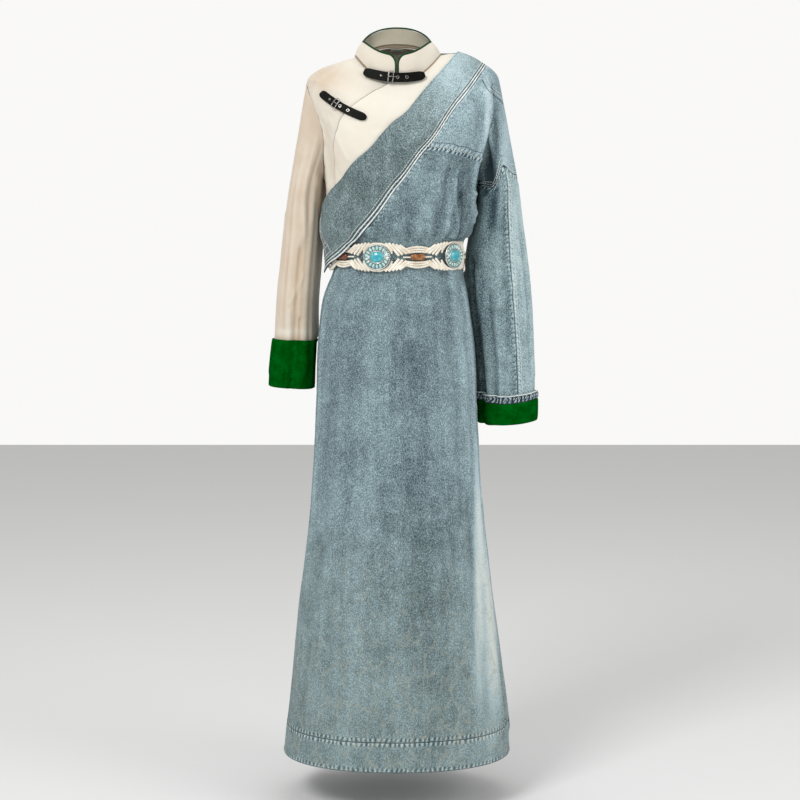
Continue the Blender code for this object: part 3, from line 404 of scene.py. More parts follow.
def span(tree, value, low, high, to_low=0.0, to_high=1.0):
    """Map a value smoothly from one range to another."""
    settings = {"interpolation_type": "SMOOTHSTEP"}
    return node(tree, "ShaderNodeMapRange", settings, i0=value, i1=low, i2=high, i3=to_low, i4=to_high).outputs[0]


def noise_at(tree, vector, scale, detail=4.0, rough=0.55):
    return node(tree, "ShaderNodeTexNoise", None, Vector=vector, Scale=scale, Detail=detail, Roughness=rough).outputs[0]


def stretched(tree, vector, scale):
    return node(tree, "ShaderNodeMapping", None, Vector=vector, Scale=scale).outputs[0]


def group(name, sockets_in, sockets_out):
    """A node group with its sockets."""
    made = bpy.data.node_groups.new(name, "ShaderNodeTree")
    for label, kind in sockets_in:
        made.interface.new_socket(label, in_out="INPUT", socket_type=kind)
    for label, kind in sockets_out:
        made.interface.new_socket(label, in_out="OUTPUT", socket_type=kind)
    return made, made.nodes.new("NodeGroupInput"), made.nodes.new("NodeGroupOutput")


def use(tree, made, **inputs):
    return node(tree, "ShaderNodeGroup", {"node_tree": made}, **inputs)


wash_group, come, go = group(
    "denim_wash", [("Vector", "NodeSocketVector")], [(n, "NodeSocketFloat") for n in ("Cloud", "Streak", "Fleck")]
)
cloud = noise_at(wash_group, come.outputs[0], 13.0, 6.0, 0.62)
finer_cloud = noise_at(wash_group, come.outputs[0], 52.0, 5.0)
cloud = maths(wash_group, "ADD", cloud, maths(wash_group, "MULTIPLY", finer_cloud, 0.45))
wash_group.links.new(span(wash_group, cloud, 0.45, 1.0), go.inputs["Cloud"])
streak = noise_at(wash_group, stretched(wash_group, come.outputs[0], (75, 75, 5.5)), 1.0, 5.0, 0.7)
wash_group.links.new(span(wash_group, streak, 0.36, 0.68), go.inputs["Streak"])
fleck = noise_at(wash_group, stretched(wash_group, come.outputs[0], (760, 760, 420)), 1.0, 3.0, 0.6)
wash_group.links.new(span(wash_group, fleck, 0.38, 0.66), go.inputs["Fleck"])

twill_group, come, go = group(
    "twill", [("UV", "NodeSocketVector")], [("Height", "NodeSocketFloat"), ("Thread", "NodeSocketFloat")]
)
bands = node(twill_group, "ShaderNodeTexWave", {"wave_type": "BANDS", "bands_direction": "DIAGONAL"},
             Vector=come.outputs[0], Scale=330.0, Distortion=1.2, Detail=1.0, Detail_Scale=2.0).outputs["Fac"]
slub = noise_at(twill_group, stretched(twill_group, come.outputs[0], (1500, 160, 1)), 1.0, 2.0)
twill_group.links.new(maths(twill_group, "ADD", maths(twill_group, "MULTIPLY", bands, 0.6), slub), go.inputs["Height"])
twill_group.links.new(bands, go.inputs["Thread"])

rope_group, come, go = group(
    "seam_rope", [("UV", "NodeSocketVector"), ("Ends", "NodeSocketFloat"), ("Sides", "NodeSocketFloat")],
    [("Rope", "NodeSocketFloat")]
)
parts_of = node(rope_group, "ShaderNodeSeparateXYZ", None, Vector=come.outputs["UV"])
drift = maths(rope_group, "MULTIPLY", noise_at(rope_group, come.outputs["UV"], 45.0, 2.0), 9.0)
ropes = []
for run, away in (("X", "Ends"), ("Y", "Sides")):
    turn = maths(rope_group, "ADD", maths(rope_group, "MULTIPLY", parts_of.outputs[run], 2 * math.pi / 0.0088), drift)
    wave = maths(rope_group, "SINE", turn)
    rises, falls = (span(rope_group, come.outputs[away], *ends) for ends in ((0.8, 1.8), (9.5, 5.0)))
    near = maths(rope_group, "MULTIPLY", rises, falls)
    ropes.append(maths(rope_group, "MULTIPLY", wave, maths(rope_group, "MULTIPLY", near, 1.0 if run == "X" else 0.3)))
rope_group.links.new(maths(rope_group, "ADD", *ropes), go.inputs["Rope"])

knit_group, come, go = group("knit", [("UV", "NodeSocketVector")], [("Height", "NodeSocketFloat")])
ribs = node(knit_group, "ShaderNodeTexWave", {"wave_type": "BANDS", "bands_direction": "X"},
            Vector=come.outputs[0], Scale=170.0, Distortion=1.5, Detail=2.0, Detail_Scale=1.5).outputs["Fac"]
loops = noise_at(knit_group, stretched(knit_group, come.outputs[0], (900, 700, 1)), 1.0, 2.0)
knit_group.links.new(maths(knit_group, "ADD", maths(knit_group, "MULTIPLY", ribs, 0.8), loops), go.inputs["Height"])
print("groups", [made.name for made in bpy.data.node_groups])

# %% [markdown]
# ### Cloth
#
# Denim fades where it is rubbed: along seams, on ridges of folds, and less in hollows. Two numbers are stored on the
# points of each cloth piece for this: wash, which is high where the cloth is pale, and seam, the distance from the
# nearest sewn edge in millimetres. The wash number also holds painted light and shade. Its paleness on fold ridges and
# darkness in hollows is partly fade and partly painted light and shade; on the cream knit it is painted light and shade
# only. Many of its listed spots are painted shade in recesses and painted highlights on ridges. Right at each sewn
# edge, the seam number also gives a painted shadow line.

# %% Cloth materials
def material(name):
    made = bpy.data.materials.new(name)
    made.use_nodes = True
    tree = made.node_tree
    return made, tree, tree.nodes["Principled BSDF"]


def place_of(tree):
    return node(tree, "ShaderNodeTexCoord").outputs["Object"]


def cloth_uv(tree):
    return node(tree, "ShaderNodeUVMap", {"uv_map": "UVMap"}).outputs[0]


def value_of(tree, name):
    return node(tree, "ShaderNodeAttribute", {"attribute_name": name}).outputs["Fac"]


def bumped(tree, shader, height, strength, distance):
    made = node(tree, "ShaderNodeBump", None, Strength=strength, Distance=distance, Height=height)
    tree.links.new(made.outputs[0], shader.inputs["Normal"])
    return made


BLEACHED = (0.66, 0.72, 0.70)


def denim(name, deep, middle, pale, crackle=0.0, groove=0.0, roped=0.62):
    made, tree, shader = material(name)
    wash = use(tree, wash_group, Vector=place_of(tree))
    twill = use(tree, twill_group, UV=cloth_uv(tree))
    total = maths(tree, "MULTIPLY", wash.outputs["Cloud"], 0.22)
    total = maths(tree, "ADD", total, maths(tree, "MULTIPLY", wash.outputs["Streak"], 0.12))
    total = maths(tree, "ADD", total, maths(tree, "MULTIPLY", wash.outputs["Fleck"], 0.62))
    # the stored wash number: fade together with painted shade and highlights
    total = maths(tree, "ADD", total, value_of(tree, "wash"))
    seam = value_of(tree, "seam")
    rough = noise_at(tree, place_of(tree), 150.0, 4.0)
    ridge = maths(tree, "MULTIPLY", span(tree, seam, 0.4, 1.6), span(tree, seam, 7.0, 1.8))
    ridge = maths(tree, "MULTIPLY", ridge, span(tree, rough, 0.36, 0.62))
    total = maths(tree, "ADD", total, maths(tree, "MULTIPLY", ridge, 0.34))
    ends, side_edges = value_of(tree, "ends"), value_of(tree, "sides")
    rope = use(tree, rope_group, UV=cloth_uv(tree), Ends=ends, Sides=side_edges).outputs[0]
    total = maths(tree, "ADD", total, maths(tree, "MULTIPLY", rope, roped))
    ramp = node(tree, "ShaderNodeValToRGB", None, Fac=maths(tree, "DIVIDE", total, 1.6))
    ramp.color_ramp.interpolation = "EASE"
    for stop, tone in zip(ramp.color_ramp.elements, (deep, BLEACHED)):
        stop.color = (*tone, 1)
    ramp.color_ramp.elements[0].position = 0.05
    for place, tone in ((0.32, middle), (0.66, pale)):
        ramp.color_ramp.elements.new(place).color = (*tone, 1)
    colour = ramp.outputs[0]
    if crackle:
        z = node(tree, "ShaderNodeSeparateXYZ", None, Vector=place_of(tree)).outputs["Z"]
        low = span(tree, z, -0.72, -1.2)
        cells = node(tree, "ShaderNodeTexVoronoi", {"feature": "DISTANCE_TO_EDGE"},
                     Vector=stretched(tree, place_of(tree), (42, 42, 20)), Scale=1.0).outputs["Distance"]
        crack = maths(tree, "MULTIPLY", span(tree, cells, 0.12, 0.0), span(tree, rough, 0.4, 0.62))
        crack = maths(tree, "MULTIPLY", crack, maths(tree, "MULTIPLY", low, crackle))
        colour = mixed(tree, crack, colour, (0.38, 0.40, 0.33, 1))
        colour = mixed(tree, maths(tree, "MULTIPLY", low, 0.2), colour, (0.19, 0.225, 0.18, 1))
    colour = mixed(tree, maths(tree, "MULTIPLY", value_of(tree, "inner"), 0.6), colour, (0.34, 0.38, 0.38, 1))
    # near-black line right at the sewn edges: painted shade of the seam gap
    painted_seam_shade = maths(tree, "MULTIPLY", span(tree, seam, 1.3, 0.2), 0.85)
    # in the yoke, a second dark line about 9 mm from its seams: painted shade in the groove there
    if groove:
        second = maths(tree, "MULTIPLY", span(tree, ends, 8.2, 9.2), span(tree, ends, 10.6, 9.6))
        painted_seam_shade = maths(tree, "MAXIMUM", painted_seam_shade, maths(tree, "MULTIPLY", second, groove))
    colour = mixed(tree, painted_seam_shade, colour, (0.012, 0.02, 0.026, 1))
    thread = maths(tree, "MULTIPLY", maths(tree, "SUBTRACT", twill.outputs["Thread"], 0.5), 0.22)
    light = node(tree, "ShaderNodeHueSaturation", None, Color=colour, Value=maths(tree, "ADD", thread, 1.0))
    tree.links.new(light.outputs[0], shader.inputs["Base Color"])
    shader.inputs["Roughness"].default_value = 0.86
    shader.inputs["Specular IOR Level"].default_value = 0.22
    shader.inputs["Sheen Weight"].default_value = 0.05
    wrinkle = maths(tree, "MULTIPLY", noise_at(tree, place_of(tree), 55.0, 5.0, 0.6), 3.2)
    height = maths(tree, "ADD", wrinkle, maths(tree, "MULTIPLY", twill.outputs["Height"], 0.28))
    height = maths(tree, "ADD", height, maths(tree, "MULTIPLY", rope, 0.7))
    bumped(tree, shader, height, 0.8, 0.0011)
    return made


def knit(name, deep, pale, depth=0.0006, line=0.6):
    made, tree, shader = material(name)
    rows = use(tree, knit_group, UV=cloth_uv(tree)).outputs[0]
    cloud = noise_at(tree, place_of(tree), 22.0, 4.0)
    # the stored wash number: tone together with painted shade and highlights
    total = maths(tree, "ADD", maths(tree, "MULTIPLY", span(tree, cloud, 0.3, 0.7), 0.1), value_of(tree, "wash"))
    total = maths(tree, "ADD", total, maths(tree, "MULTIPLY", rows, 0.12))
    seam = value_of(tree, "seam")
    colour = mixed(tree, span(tree, total, 0.1, 1.0), (*deep, 1), (*pale, 1))
    # dark line along the sewn edges: painted shadow of the seam, and of the overlap on the crossed front
    painted_seam_shadow = maths(tree, "MULTIPLY", span(tree, seam, 1.5, 0.3), line)
    colour = mixed(tree, painted_seam_shadow, colour, (*[c * 0.16 for c in deep], 1))
    # inner faces of the knit turn grey-beige: painted shade, seen inside the collar
    colour = mixed(tree, value_of(tree, "inner"), colour, (0.42, 0.385, 0.30, 1))
    tree.links.new(colour, shader.inputs["Base Color"])
    shader.inputs["Roughness"].default_value = 0.92
    shader.inputs["Specular IOR Level"].default_value = 0.15
    shader.inputs["Sheen Weight"].default_value = 0.25
    shader.inputs["Subsurface Weight"].default_value = 0.0
    soft = maths(tree, "MULTIPLY", noise_at(tree, place_of(tree), 38.0, 3.0), 2.0)
    bumped(tree, shader, maths(tree, "ADD", soft, rows), 0.7, depth)
    return made


def fleece(name, deep, pale):
    made, tree, shader = material(name)
    fuzz = noise_at(tree, place_of(tree), 420.0, 6.0, 0.7)
    patch = noise_at(tree, place_of(tree), 60.0, 3.0)
    total = maths(tree, "ADD", maths(tree, "MULTIPLY", fuzz, 0.7), maths(tree, "MULTIPLY", patch, 0.5))
    colour = mixed(tree, span(tree, total, 0.4, 0.8), (*deep, 1), (*pale, 1))
    tree.links.new(colour, shader.inputs["Base Color"])
    shader.inputs["Roughness"].default_value = 1.0
    shader.inputs["Specular IOR Level"].default_value = 0.0
    bumped(tree, shader, total, 1.0, 0.0012)
    return made


BODY_TONES = (0.035, 0.06, 0.075), (0.158, 0.222, 0.238), (0.40, 0.54, 0.59)
denim_body = denim("washed_denim", *BODY_TONES, crackle=0.6)
# groove paints shade in a line beside the yoke seams
denim_yoke = denim("yoke_denim", *BODY_TONES, groove=0.75, roped=0.34)
denim_band = denim("band_denim", (0.055, 0.08, 0.085), (0.18, 0.24, 0.245), (0.46, 0.60, 0.64))
denim_sleeve = denim("sleeve_denim", (0.03, 0.06, 0.075), (0.19, 0.268, 0.285), (0.46, 0.60, 0.63))
denim_dark = denim("dark_denim", (0.015, 0.028, 0.04), (0.05, 0.085, 0.11), (0.2, 0.28, 0.32))
CREAM_TONES = (0.60, 0.45, 0.31), (0.85, 0.81, 0.71)
cream = knit("cream_knit", *CREAM_TONES)
# the crossed front gets a stronger painted shadow line along its closing edge, under the overlap
cream_front = knit("cream_front", *CREAM_TONES, line=0.95)
green = fleece("green_knit", (0.0, 0.045, 0.001), (0.0, 0.115, 0.008))
print("cloth materials made")

# %% [markdown]
# ### Leather, metal, stone, cord and thread
#
# These are plain to state: black grained leather with a soft shine, silver darkened in patches, mottled blue stone with
# a brown vein, amber beads, and cotton cord.

# %% Small materials
def leather():
    made, tree, shader = material("black_leather")
    grain = node(tree, "ShaderNodeTexVoronoi", None, Vector=place_of(tree), Scale=900.0).outputs["Distance"]
    worn = noise_at(tree, place_of(tree), 160.0, 4.0)
    colour = mixed(tree, span(tree, worn, 0.5, 0.8), (0.003, 0.003, 0.002, 1), (0.016, 0.015, 0.013, 1))
    tree.links.new(colour, shader.inputs["Base Color"])
    tree.links.new(span(tree, worn, 0.3, 0.8, 0.42, 0.66), shader.inputs["Roughness"])
    shader.inputs["Specular IOR Level"].default_value = 0.08
    bumped(tree, shader, grain, 0.5, 0.0003)
    return made


def silver(name, tint=(0.78, 0.77, 0.74)):
    made, tree, shader = material(name)
    dull = noise_at(tree, place_of(tree), 240.0, 5.0)
    colour = mixed(tree, span(tree, dull, 0.5, 0.75), (*tint, 1), (*[c * 0.42 for c in tint], 1))
    tree.links.new(colour, shader.inputs["Base Color"])
    shader.inputs["Metallic"].default_value = 1.0
    tree.links.new(span(tree, dull, 0.3, 0.8, 0.22, 0.48), shader.inputs["Roughness"])
    bumped(tree, shader, dull, 0.35, 0.0003)
    return made


def stone(name, deep, pale, vein, rough=0.22):
    made, tree, shader = material(name)
    patch = noise_at(tree, place_of(tree), 130.0, 5.0, 0.6)
    colour = mixed(tree, span(tree, patch, 0.35, 0.65), (*deep, 1), (*pale, 1))
    cells = node(tree, "ShaderNodeTexVoronoi", {"feature": "DISTANCE_TO_EDGE"},
                 Vector=place_of(tree), Scale=170.0).outputs["Distance"]
    lines = maths(tree, "MULTIPLY", span(tree, cells, 0.07, 0.0), span(tree, patch, 0.4, 0.6))
    colour = mixed(tree, lines, colour, (*vein, 1))
    tree.links.new(colour, shader.inputs["Base Color"])
    shader.inputs["Roughness"].default_value = rough
    shader.inputs["Coat Weight"].default_value = 0.4
    bumped(tree, shader, patch, 0.2, 0.0003)
    return made


def cotton(name, deep, pale, depth=0.0004):
    made, tree, shader = material(name)
    fibre = noise_at(tree, place_of(tree), 800.0, 4.0, 0.65)
    patch = noise_at(tree, place_of(tree), 90.0, 3.0)
    total = maths(tree, "ADD", maths(tree, "MULTIPLY", fibre, 0.5), maths(tree, "MULTIPLY", patch, 0.5))
    colour = mixed(tree, span(tree, total, 0.34, 0.66), (*deep, 1), (*pale, 1))
    tree.links.new(colour, shader.inputs["Base Color"])
    shader.inputs["Roughness"].default_value = 0.9
    shader.inputs["Specular IOR Level"].default_value = 0.15
    bumped(tree, shader, fibre, 0.8, depth)
    return made


black_leather = leather()
silver_metal = silver("silver_metal")
buckle_metal = silver("buckle_metal", (0.30, 0.29, 0.27))
turquoise = stone("turquoise_stone", (0.02, 0.33, 0.42), (0.13, 0.62, 0.66), (0.10, 0.07, 0.04))
pale_stone = stone("pale_stone", (0.34, 0.62, 0.60), (0.66, 0.84, 0.76), (0.2, 0.3, 0.3))
teal_back = stone("teal_back", (0.006, 0.07, 0.085), (0.02, 0.16, 0.18), (0.01, 0.03, 0.03), 0.4)
amber = stone("amber_bead", (0.16, 0.045, 0.012), (0.46, 0.20, 0.05), (0.06, 0.02, 0.01), 0.2)
red_brown = stone("red_brown_bead", (0.06, 0.012, 0.006), (0.24, 0.07, 0.025), (0.03, 0.01, 0.006), 0.2)
belt_cotton = cotton("belt_cord", (0.76, 0.68, 0.54), (0.95, 0.92, 0.84))
white_thread = cotton("white_thread", (0.62, 0.67, 0.66), (0.88, 0.90, 0.86), 0.0002)
# near-black cord laid in the grooves of the band's edge and along the shoulder seam: painted shade
painted_groove_shade = cotton("painted_groove_shade", (0.008, 0.014, 0.018), (0.03, 0.05, 0.06), 0.0002)
blue_thread = cotton("blue_thread", (0.07, 0.11, 0.13), (0.28, 0.36, 0.38), 0.0002)
pale_edge = cotton("pale_edge", (0.50, 0.57, 0.57), (0.92, 0.94, 0.91), 0.0003)
green_cord = cotton("green_piping", (0.001, 0.025, 0.006), (0.012, 0.085, 0.03))
tape = cotton("label_cloth", (0.42, 0.40, 0.34), (0.58, 0.56, 0.50))
# the neck tape takes the grey-beige of the shaded inside of the collar: painted shade
neck_tape_in_painted_shade = cotton("neck_tape_in_painted_shade", (0.30, 0.275, 0.21), (0.42, 0.385, 0.30))
print("materials", len(bpy.data.materials))

# %% [markdown]
# ## A cloth piece
#
# Every panel and sleeve goes through one recipe. A fine grid of points is read from its surface, the
# points are moved a little along their normals for puckers at seams and soft unevenness, the sheet is
# given its real thickness with Solidify, and the wash and seam numbers are stored for its material.
# A closed shell made this way keeps its folds exactly where they were placed, which a simulation
# would not.

# %% Recipe for a cloth piece
Pucker = namedtuple("Pucker", "edge pitch height reach")
flat_sizes = {}


def select_only(thing):
    bpy.ops.object.select_all(action="DESELECT")
    thing.select_set(True)
    bpy.context.view_layer.objects.active = thing


def lay_out(points, closed):
    """Distance along each row and down each column of a grid, in metres."""
    steps = np.linalg.norm(np.diff(points, axis=1), axis=-1)
    along = np.concatenate([np.zeros((len(points), 1)), np.cumsum(steps, axis=1)], axis=1)
    closing = np.linalg.norm(points[:, 0] - points[:, -1], axis=-1) if closed else 0
    falls = np.linalg.norm(np.diff(points, axis=0), axis=-1)
    down = np.concatenate([np.zeros((1, points.shape[1])), np.cumsum(falls, axis=0)], axis=0)
    return along, along[:, -1] + closing, down


def grid_normals(points, outside, closed):
    if closed:
        wrapped = np.concatenate([points[:, -1:], points, points[:, :1]], axis=1)
        across = wrapped[:, 2:] - wrapped[:, :-2]
    else:
        across = np.gradient(points, axis=1)
    normal = unit(np.cross(np.gradient(points, axis=0), across))
    return normal * np.sign(np.mean(np.sum(normal * outside, axis=-1)))


def unevenness(points, size, height, shift):
    flat = points.reshape(-1, 3)
    values = [noise.noise(Vector(p) / size + Vector((shift, 0, 0))) for p in flat]
    return np.array(values).reshape(points.shape[:2]) * height


def tone_and_painted_light(points, lift, base, spots):
    """Wash value: a base, paler on ridges and darker in hollows, and softly paler or darker spots given by place and
    size. The ridges and hollows are partly fade and partly painted light and shade, and many of the spots are painted
    shade and painted highlights.
    """
    # paler on fold ridges and darker in hollows: partly fade of the denim and partly painted light and shade; on the
    # knit, painted light and shade only
    value = base + np.clip(lift / MM, -6, 6) * 0.035
    # spots of painted shade in recesses and painted highlights on ridges, among other paler or darker spots
    for x, y, z, half_x, half_z, amount in spots:
        near = ((points[..., 0] / MM - x) / half_x) ** 2 + ((points[..., 2] / MM - z) / half_z) ** 2
        facing = smooth(0.5 + points[..., 1] * y / MM / 60)
        value = value + amount * np.exp(-near) * facing
    return value


def cloth(name, points, outside, look, slot, replaced, wall=DENIM_WALL, closed=False, seams=(), puckers=(),
          lift=0.0, base=0.0, spots=(), uneven=0.5 * MM, held="hung", rests_on=(), shift=0.0):
    """A cloth shell whose outer face is a grid of points."""
    along, totals, down = lay_out(points, closed)
    total = totals[:, None]
    away = {"top": down, "bottom": down[-1] - down, "first": along, "last": total - along}
    normal = grid_normals(points, outside, closed)
    move = np.zeros(points.shape[:2])
    for pucker in puckers:
        run = along if pucker.edge in ("top", "bottom") else down
        drift = unevenness(points, 0.03, 4.0, 3.1)
        wave = np.cos(2 * math.pi * run / (pucker.pitch * MM) + drift)
        move += pucker.height * MM * wave * np.exp(-((away[pucker.edge] / (pucker.reach * MM)) ** 2))
    border = np.minimum.reduce([away[edge] for edge in seams]) if seams else np.full(move.shape, 1.0)
    quiet = smooth(np.minimum(border / 0.012, 1))
    move += unevenness(points, 0.055, uneven, shift) * (0.35 + 0.65 * quiet)
    move += unevenness(points, 0.016, uneven * 0.35, shift + 5) * quiet
    move -= 0.35 * MM * np.exp(-((border / (1.2 * MM)) ** 2)) if seams else 0
    points = points + normal * move[..., None]

    rows, columns = points.shape[:2]
    index = np.arange(rows * columns).reshape(rows, columns)
    right = np.roll(index, -1, axis=1) if closed else index[:, 1:]
    left = index if closed else index[:, :-1]
    faces = np.stack([left[:-1], left[1:], right[1:], right[:-1]], axis=-1).reshape(-1, 4)
    corner = points.reshape(-1, 3)[faces]
    facing = np.cross(corner[:, 1] - corner[:, 0], corner[:, 3] - corner[:, 0])
    if np.mean(np.sum(facing * normal.reshape(-1, 3)[faces[:, 0]], axis=-1)) < 0:
        order = [0, 3, 2, 1]
    else:
        order = [0, 1, 2, 3]
    faces = faces[:, order]
    mesh = bpy.data.meshes.new(name)
    mesh.from_pydata(points.reshape(-1, 3).tolist(), [], faces.tolist())
    far = np.concatenate([along, total], axis=1) if closed else along
    deep = np.concatenate([down, down[:, :1]], axis=1) if closed else down
    cells = np.arange((rows - 1) * (columns if closed else columns - 1))
    row, column = cells // (columns if closed else columns - 1), cells % (columns if closed else columns - 1)
    corners = [(row, column), (row + 1, column), (row + 1, column + 1), (row, column + 1)]
    uv = np.stack([np.stack([far[r, c], deep[r, c]], -1) for r, c in corners], axis=1)[:, order]
    layer = mesh.uv_layers.new(name="UVMap")
    layer.data.foreach_set("uv", uv.reshape(-1).astype(np.float32))
    # the wash number holds fade together with painted light and shade
    wash = tone_and_painted_light(points, lift + move, base, spots)
    ends, sides = (
        np.minimum.reduce([away[edge] / MM for edge in pair if edge in seams] + [np.full(move.shape, 60.0)])
        for pair in (("top", "bottom"), ("first", "last"))
    )
    for label, values in (("wash", wash), ("seam", np.minimum(border / MM, 60)), ("ends", ends), ("sides", sides)):
        attribute = mesh.attributes.new(label, "FLOAT", "POINT")
        attribute.data.foreach_set("value", np.broadcast_to(values, (rows, columns)).reshape(-1).astype(np.float32))
    mesh.materials.append(look)
    piece = bpy.data.objects.new(name, mesh)
    scene.collection.objects.link(piece)
    select_only(piece)
    solid = piece.modifiers.new("thickness", "SOLIDIFY")
    solid.thickness = wall
    solid.offset = -1
    bpy.ops.object.modifier_apply(modifier="thickness")
    inner = np.arange(len(piece.data.vertices)) >= rows * columns
    attribute = piece.data.attributes.new("inner", "FLOAT", "POINT")
    attribute.data.foreach_set("value", inner.astype(np.float32))
    bpy.ops.object.shade_smooth_by_angle(angle=math.radians(55))
    piece.data.validate()
    area = float(np.linalg.norm(facing, axis=-1).sum())
    slant = min(1.0, area / float(totals.mean() * down[-1].mean()))
    width, length = float(totals.max()) * slant, float(down[-1].max())
    flat_sizes[name] = [round(width, 3), round(length, 3), round(area, 4)]
    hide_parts(*replaced)
    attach(piece, "root")
    return piece


def between(first, last, columns):
    """Places in rows straight across from one line of places to another."""
    share = np.linspace(0, 1, columns + 1)[None, :, None]
    return np.asarray(first)[:, None] * (1 - share) + np.asarray(last)[:, None] * share


def finer(places, times):
    """The same rows of places with more rows between them."""
    rows = np.linspace(0, len(places) - 1, (len(places) - 1) * times + 1)
    first = np.minimum(rows.astype(int), len(places) - 2)
    share = (rows - first)[:, None, None]
    return places[first] * (1 - share) + places[first + 1] * share


def body_cloth(name, places, out, folds, back=False, **more):
    """A cloth piece on the body of the garment, from places."""
    places = behind(places) if back else np.asarray(places)
    lift = relief(folds, places[..., 0], places[..., 1], 2.1, 62.0)
    outside = body_normal(places[..., 0], places[..., 1])
    return cloth(name, on_body(places, out, folds), outside, lift=lift, **more)


print("cloth recipe ready")

# %% [markdown]
# ## Threads and cords
#
# A stitch is a short tapered bar lying on the cloth, and a cord is two strands twisted round each
# other, or one round strand. Both follow a line of points, evenly spaced by distance, so that stitches
# keep their length round a curve.

# %% Lines, strands and stitches
def even(points, spacing=None, count=None):
    """Points evenly spaced by distance along a line."""
    points = np.asarray(points, float)
    lengths = np.concatenate([[0], np.cumsum(np.linalg.norm(np.diff(points, axis=0), axis=-1))])
    count = count or max(2, int(round(lengths[-1] / spacing)) + 1)
    wanted = np.linspace(0, lengths[-1], count)
    return np.stack([np.interp(wanted, lengths, points[:, axis]) for axis in range(points.shape[1])], -1)


def tube_parts(path, radii, sides, phase=0.0, flat=1.0, up=None):
    """Points and faces of a tube along a path, with closed ends."""
    path = np.asarray(path, float)
    along = unit(np.gradient(path, axis=0))
    up = np.asarray(up, float) if up is not None else np.array([0.13, 0.21, 0.97])
    up = np.broadcast_to(up, path.shape)
    side = unit(np.cross(along, up))
    over = np.cross(side, along)
    turn = np.linspace(0, 2 * math.pi, sides, endpoint=False) + phase
    radii = np.broadcast_to(np.asarray(radii, float), (len(path),))
    ring = side[:, None] * np.cos(turn)[None, :, None] + over[:, None] * (flat * np.sin(turn))[None, :, None]
    points = path[:, None] + ring * radii[:, None, None]
    index = np.arange(len(path) * sides).reshape(len(path), sides)
    beside = np.roll(index, -1, axis=1)
    faces = np.stack([index[:-1], beside[:-1], beside[1:], index[1:]], -1).reshape(-1, 4).tolist()
    faces += [index[0][::-1].tolist(), index[-1].tolist()]
    return points.reshape(-1, 3), faces


def joined(name, parts, look, smooth_angle=50):
    """One object from several lists of points and faces."""
    points, faces, count = [], [], 0
    for some, more in parts:
        points.append(np.asarray(some))
        faces += [[corner + count for corner in face] for face in more]
        count += len(some)
    mesh = bpy.data.meshes.new(name)
    mesh.from_pydata(np.concatenate(points).tolist(), [], faces)
    mesh.materials.append(look)
    piece = bpy.data.objects.new(name, mesh)
    scene.collection.objects.link(piece)
    select_only(piece)
    bpy.ops.object.mode_set(mode="EDIT")
    bpy.ops.mesh.select_all(action="SELECT")
    bpy.ops.mesh.normals_make_consistent(inside=False)
    bpy.ops.object.mode_set(mode="OBJECT")
    bpy.ops.object.shade_smooth_by_angle(angle=math.radians(smooth_angle))
    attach(piece, "root")
    return piece


def rounded(path, radius):
    """Radii that close a tube to a round end at both ends."""
    lengths = np.concatenate([[0], np.cumsum(np.linalg.norm(np.diff(path, axis=0), axis=-1))])
    near = np.minimum(lengths, lengths[-1] - lengths) / radius
    return radius * np.sqrt(np.maximum(1 - (1 - np.minimum(near, 1)) ** 2, 0.04))


def stitches(line, normals, length=3.0, gap=1.5, radius=0.45, sink=0.1):
    """Parts for a row of stitches along a line, all in millimetres."""
    both = even(np.concatenate([line, normals], axis=1)[:, :3], spacing=0.5 * MM)
    lengths = np.concatenate([[0], np.cumsum(np.linalg.norm(np.diff(line, axis=0), axis=-1))])
    at = np.linspace(0, lengths[-1], len(both))
    out = unit(np.stack([np.interp(at, lengths, normals[:, axis]) for axis in range(3)], -1))
    step, parts = (length + gap) * MM, []
    for number in range(int(lengths[-1] / step)):
        first, last = (np.abs(at - number * step).argmin(), np.abs(at - number * step - length * MM).argmin())
        if last <= first:
            continue
        start, end = both[first], both[last]
        lift = out[first] * (radius - sink) * MM
        near_start, near_end = start * 0.75 + end * 0.25, start * 0.25 + end * 0.75
        path = np.array([start - lift * 0.6, near_start + lift, near_end + lift, end - lift * 0.6])
        parts.append(tube_parts(path, np.array([0.7, 1, 1, 0.7]) * radius * MM, 5, up=out[first]))
    return parts


def twisted(path, radius, pitch, strands=2, sides=7, per_turn=9, up=(0.1, 0.2, 0.95)):
    """Parts for a twisted cord of a radius, all in metres."""
    path = even(path, spacing=pitch / per_turn)
    along = unit(np.gradient(path, axis=0))
    side = unit(np.cross(along, np.broadcast_to(np.array(up), path.shape)))
    over = np.cross(side, along)
    parts = []
    for strand in range(strands):
        turn = 2 * math.pi * (np.arange(len(path)) / per_turn + strand / strands)
        centre = path + (side * np.cos(turn)[:, None] + over * np.sin(turn)[:, None]) * radius * 0.45
        parts.append(tube_parts(centre, radius * 0.56, sides))
    return parts


print("thread and cord tools ready")

# %% [markdown]
# ## Tails of the belt cord
#
# Two short ends of the belt's tie hang from its knot. Each is a two-strand cotton cord that runs straight down from the
# knot with a little drift outward. They come first, before the cloth.

# %% Belt places and the two tails
PLATE_SPACING, BELT_LEVEL = 144 * MM, 27 * MM
BELT_IN, BELT_WALL = 4.2 * MM, 3.0 * MM
PLATE_PLACES, BEAD_PLACES = (-2, -1, 0, 1), (-1.5, -0.5, 0.5)
FIRST_PLATE_ANGLE, KNOT_ANGLE = -15.0, 108.0


def belt_point(angle, height, out):
    """Points of the belt; height counts from its middle line."""
    angle, height = np.broadcast_arrays(np.asarray(angle, float), np.asarray(height, float))
    level = WAIST - height / BELT_LEVEL
    points = on_body(np.stack([angle, level, np.zeros(angle.shape)], -1), out)
    points[..., 2] = body(angle, WAIST)[..., 2] + height
    return points


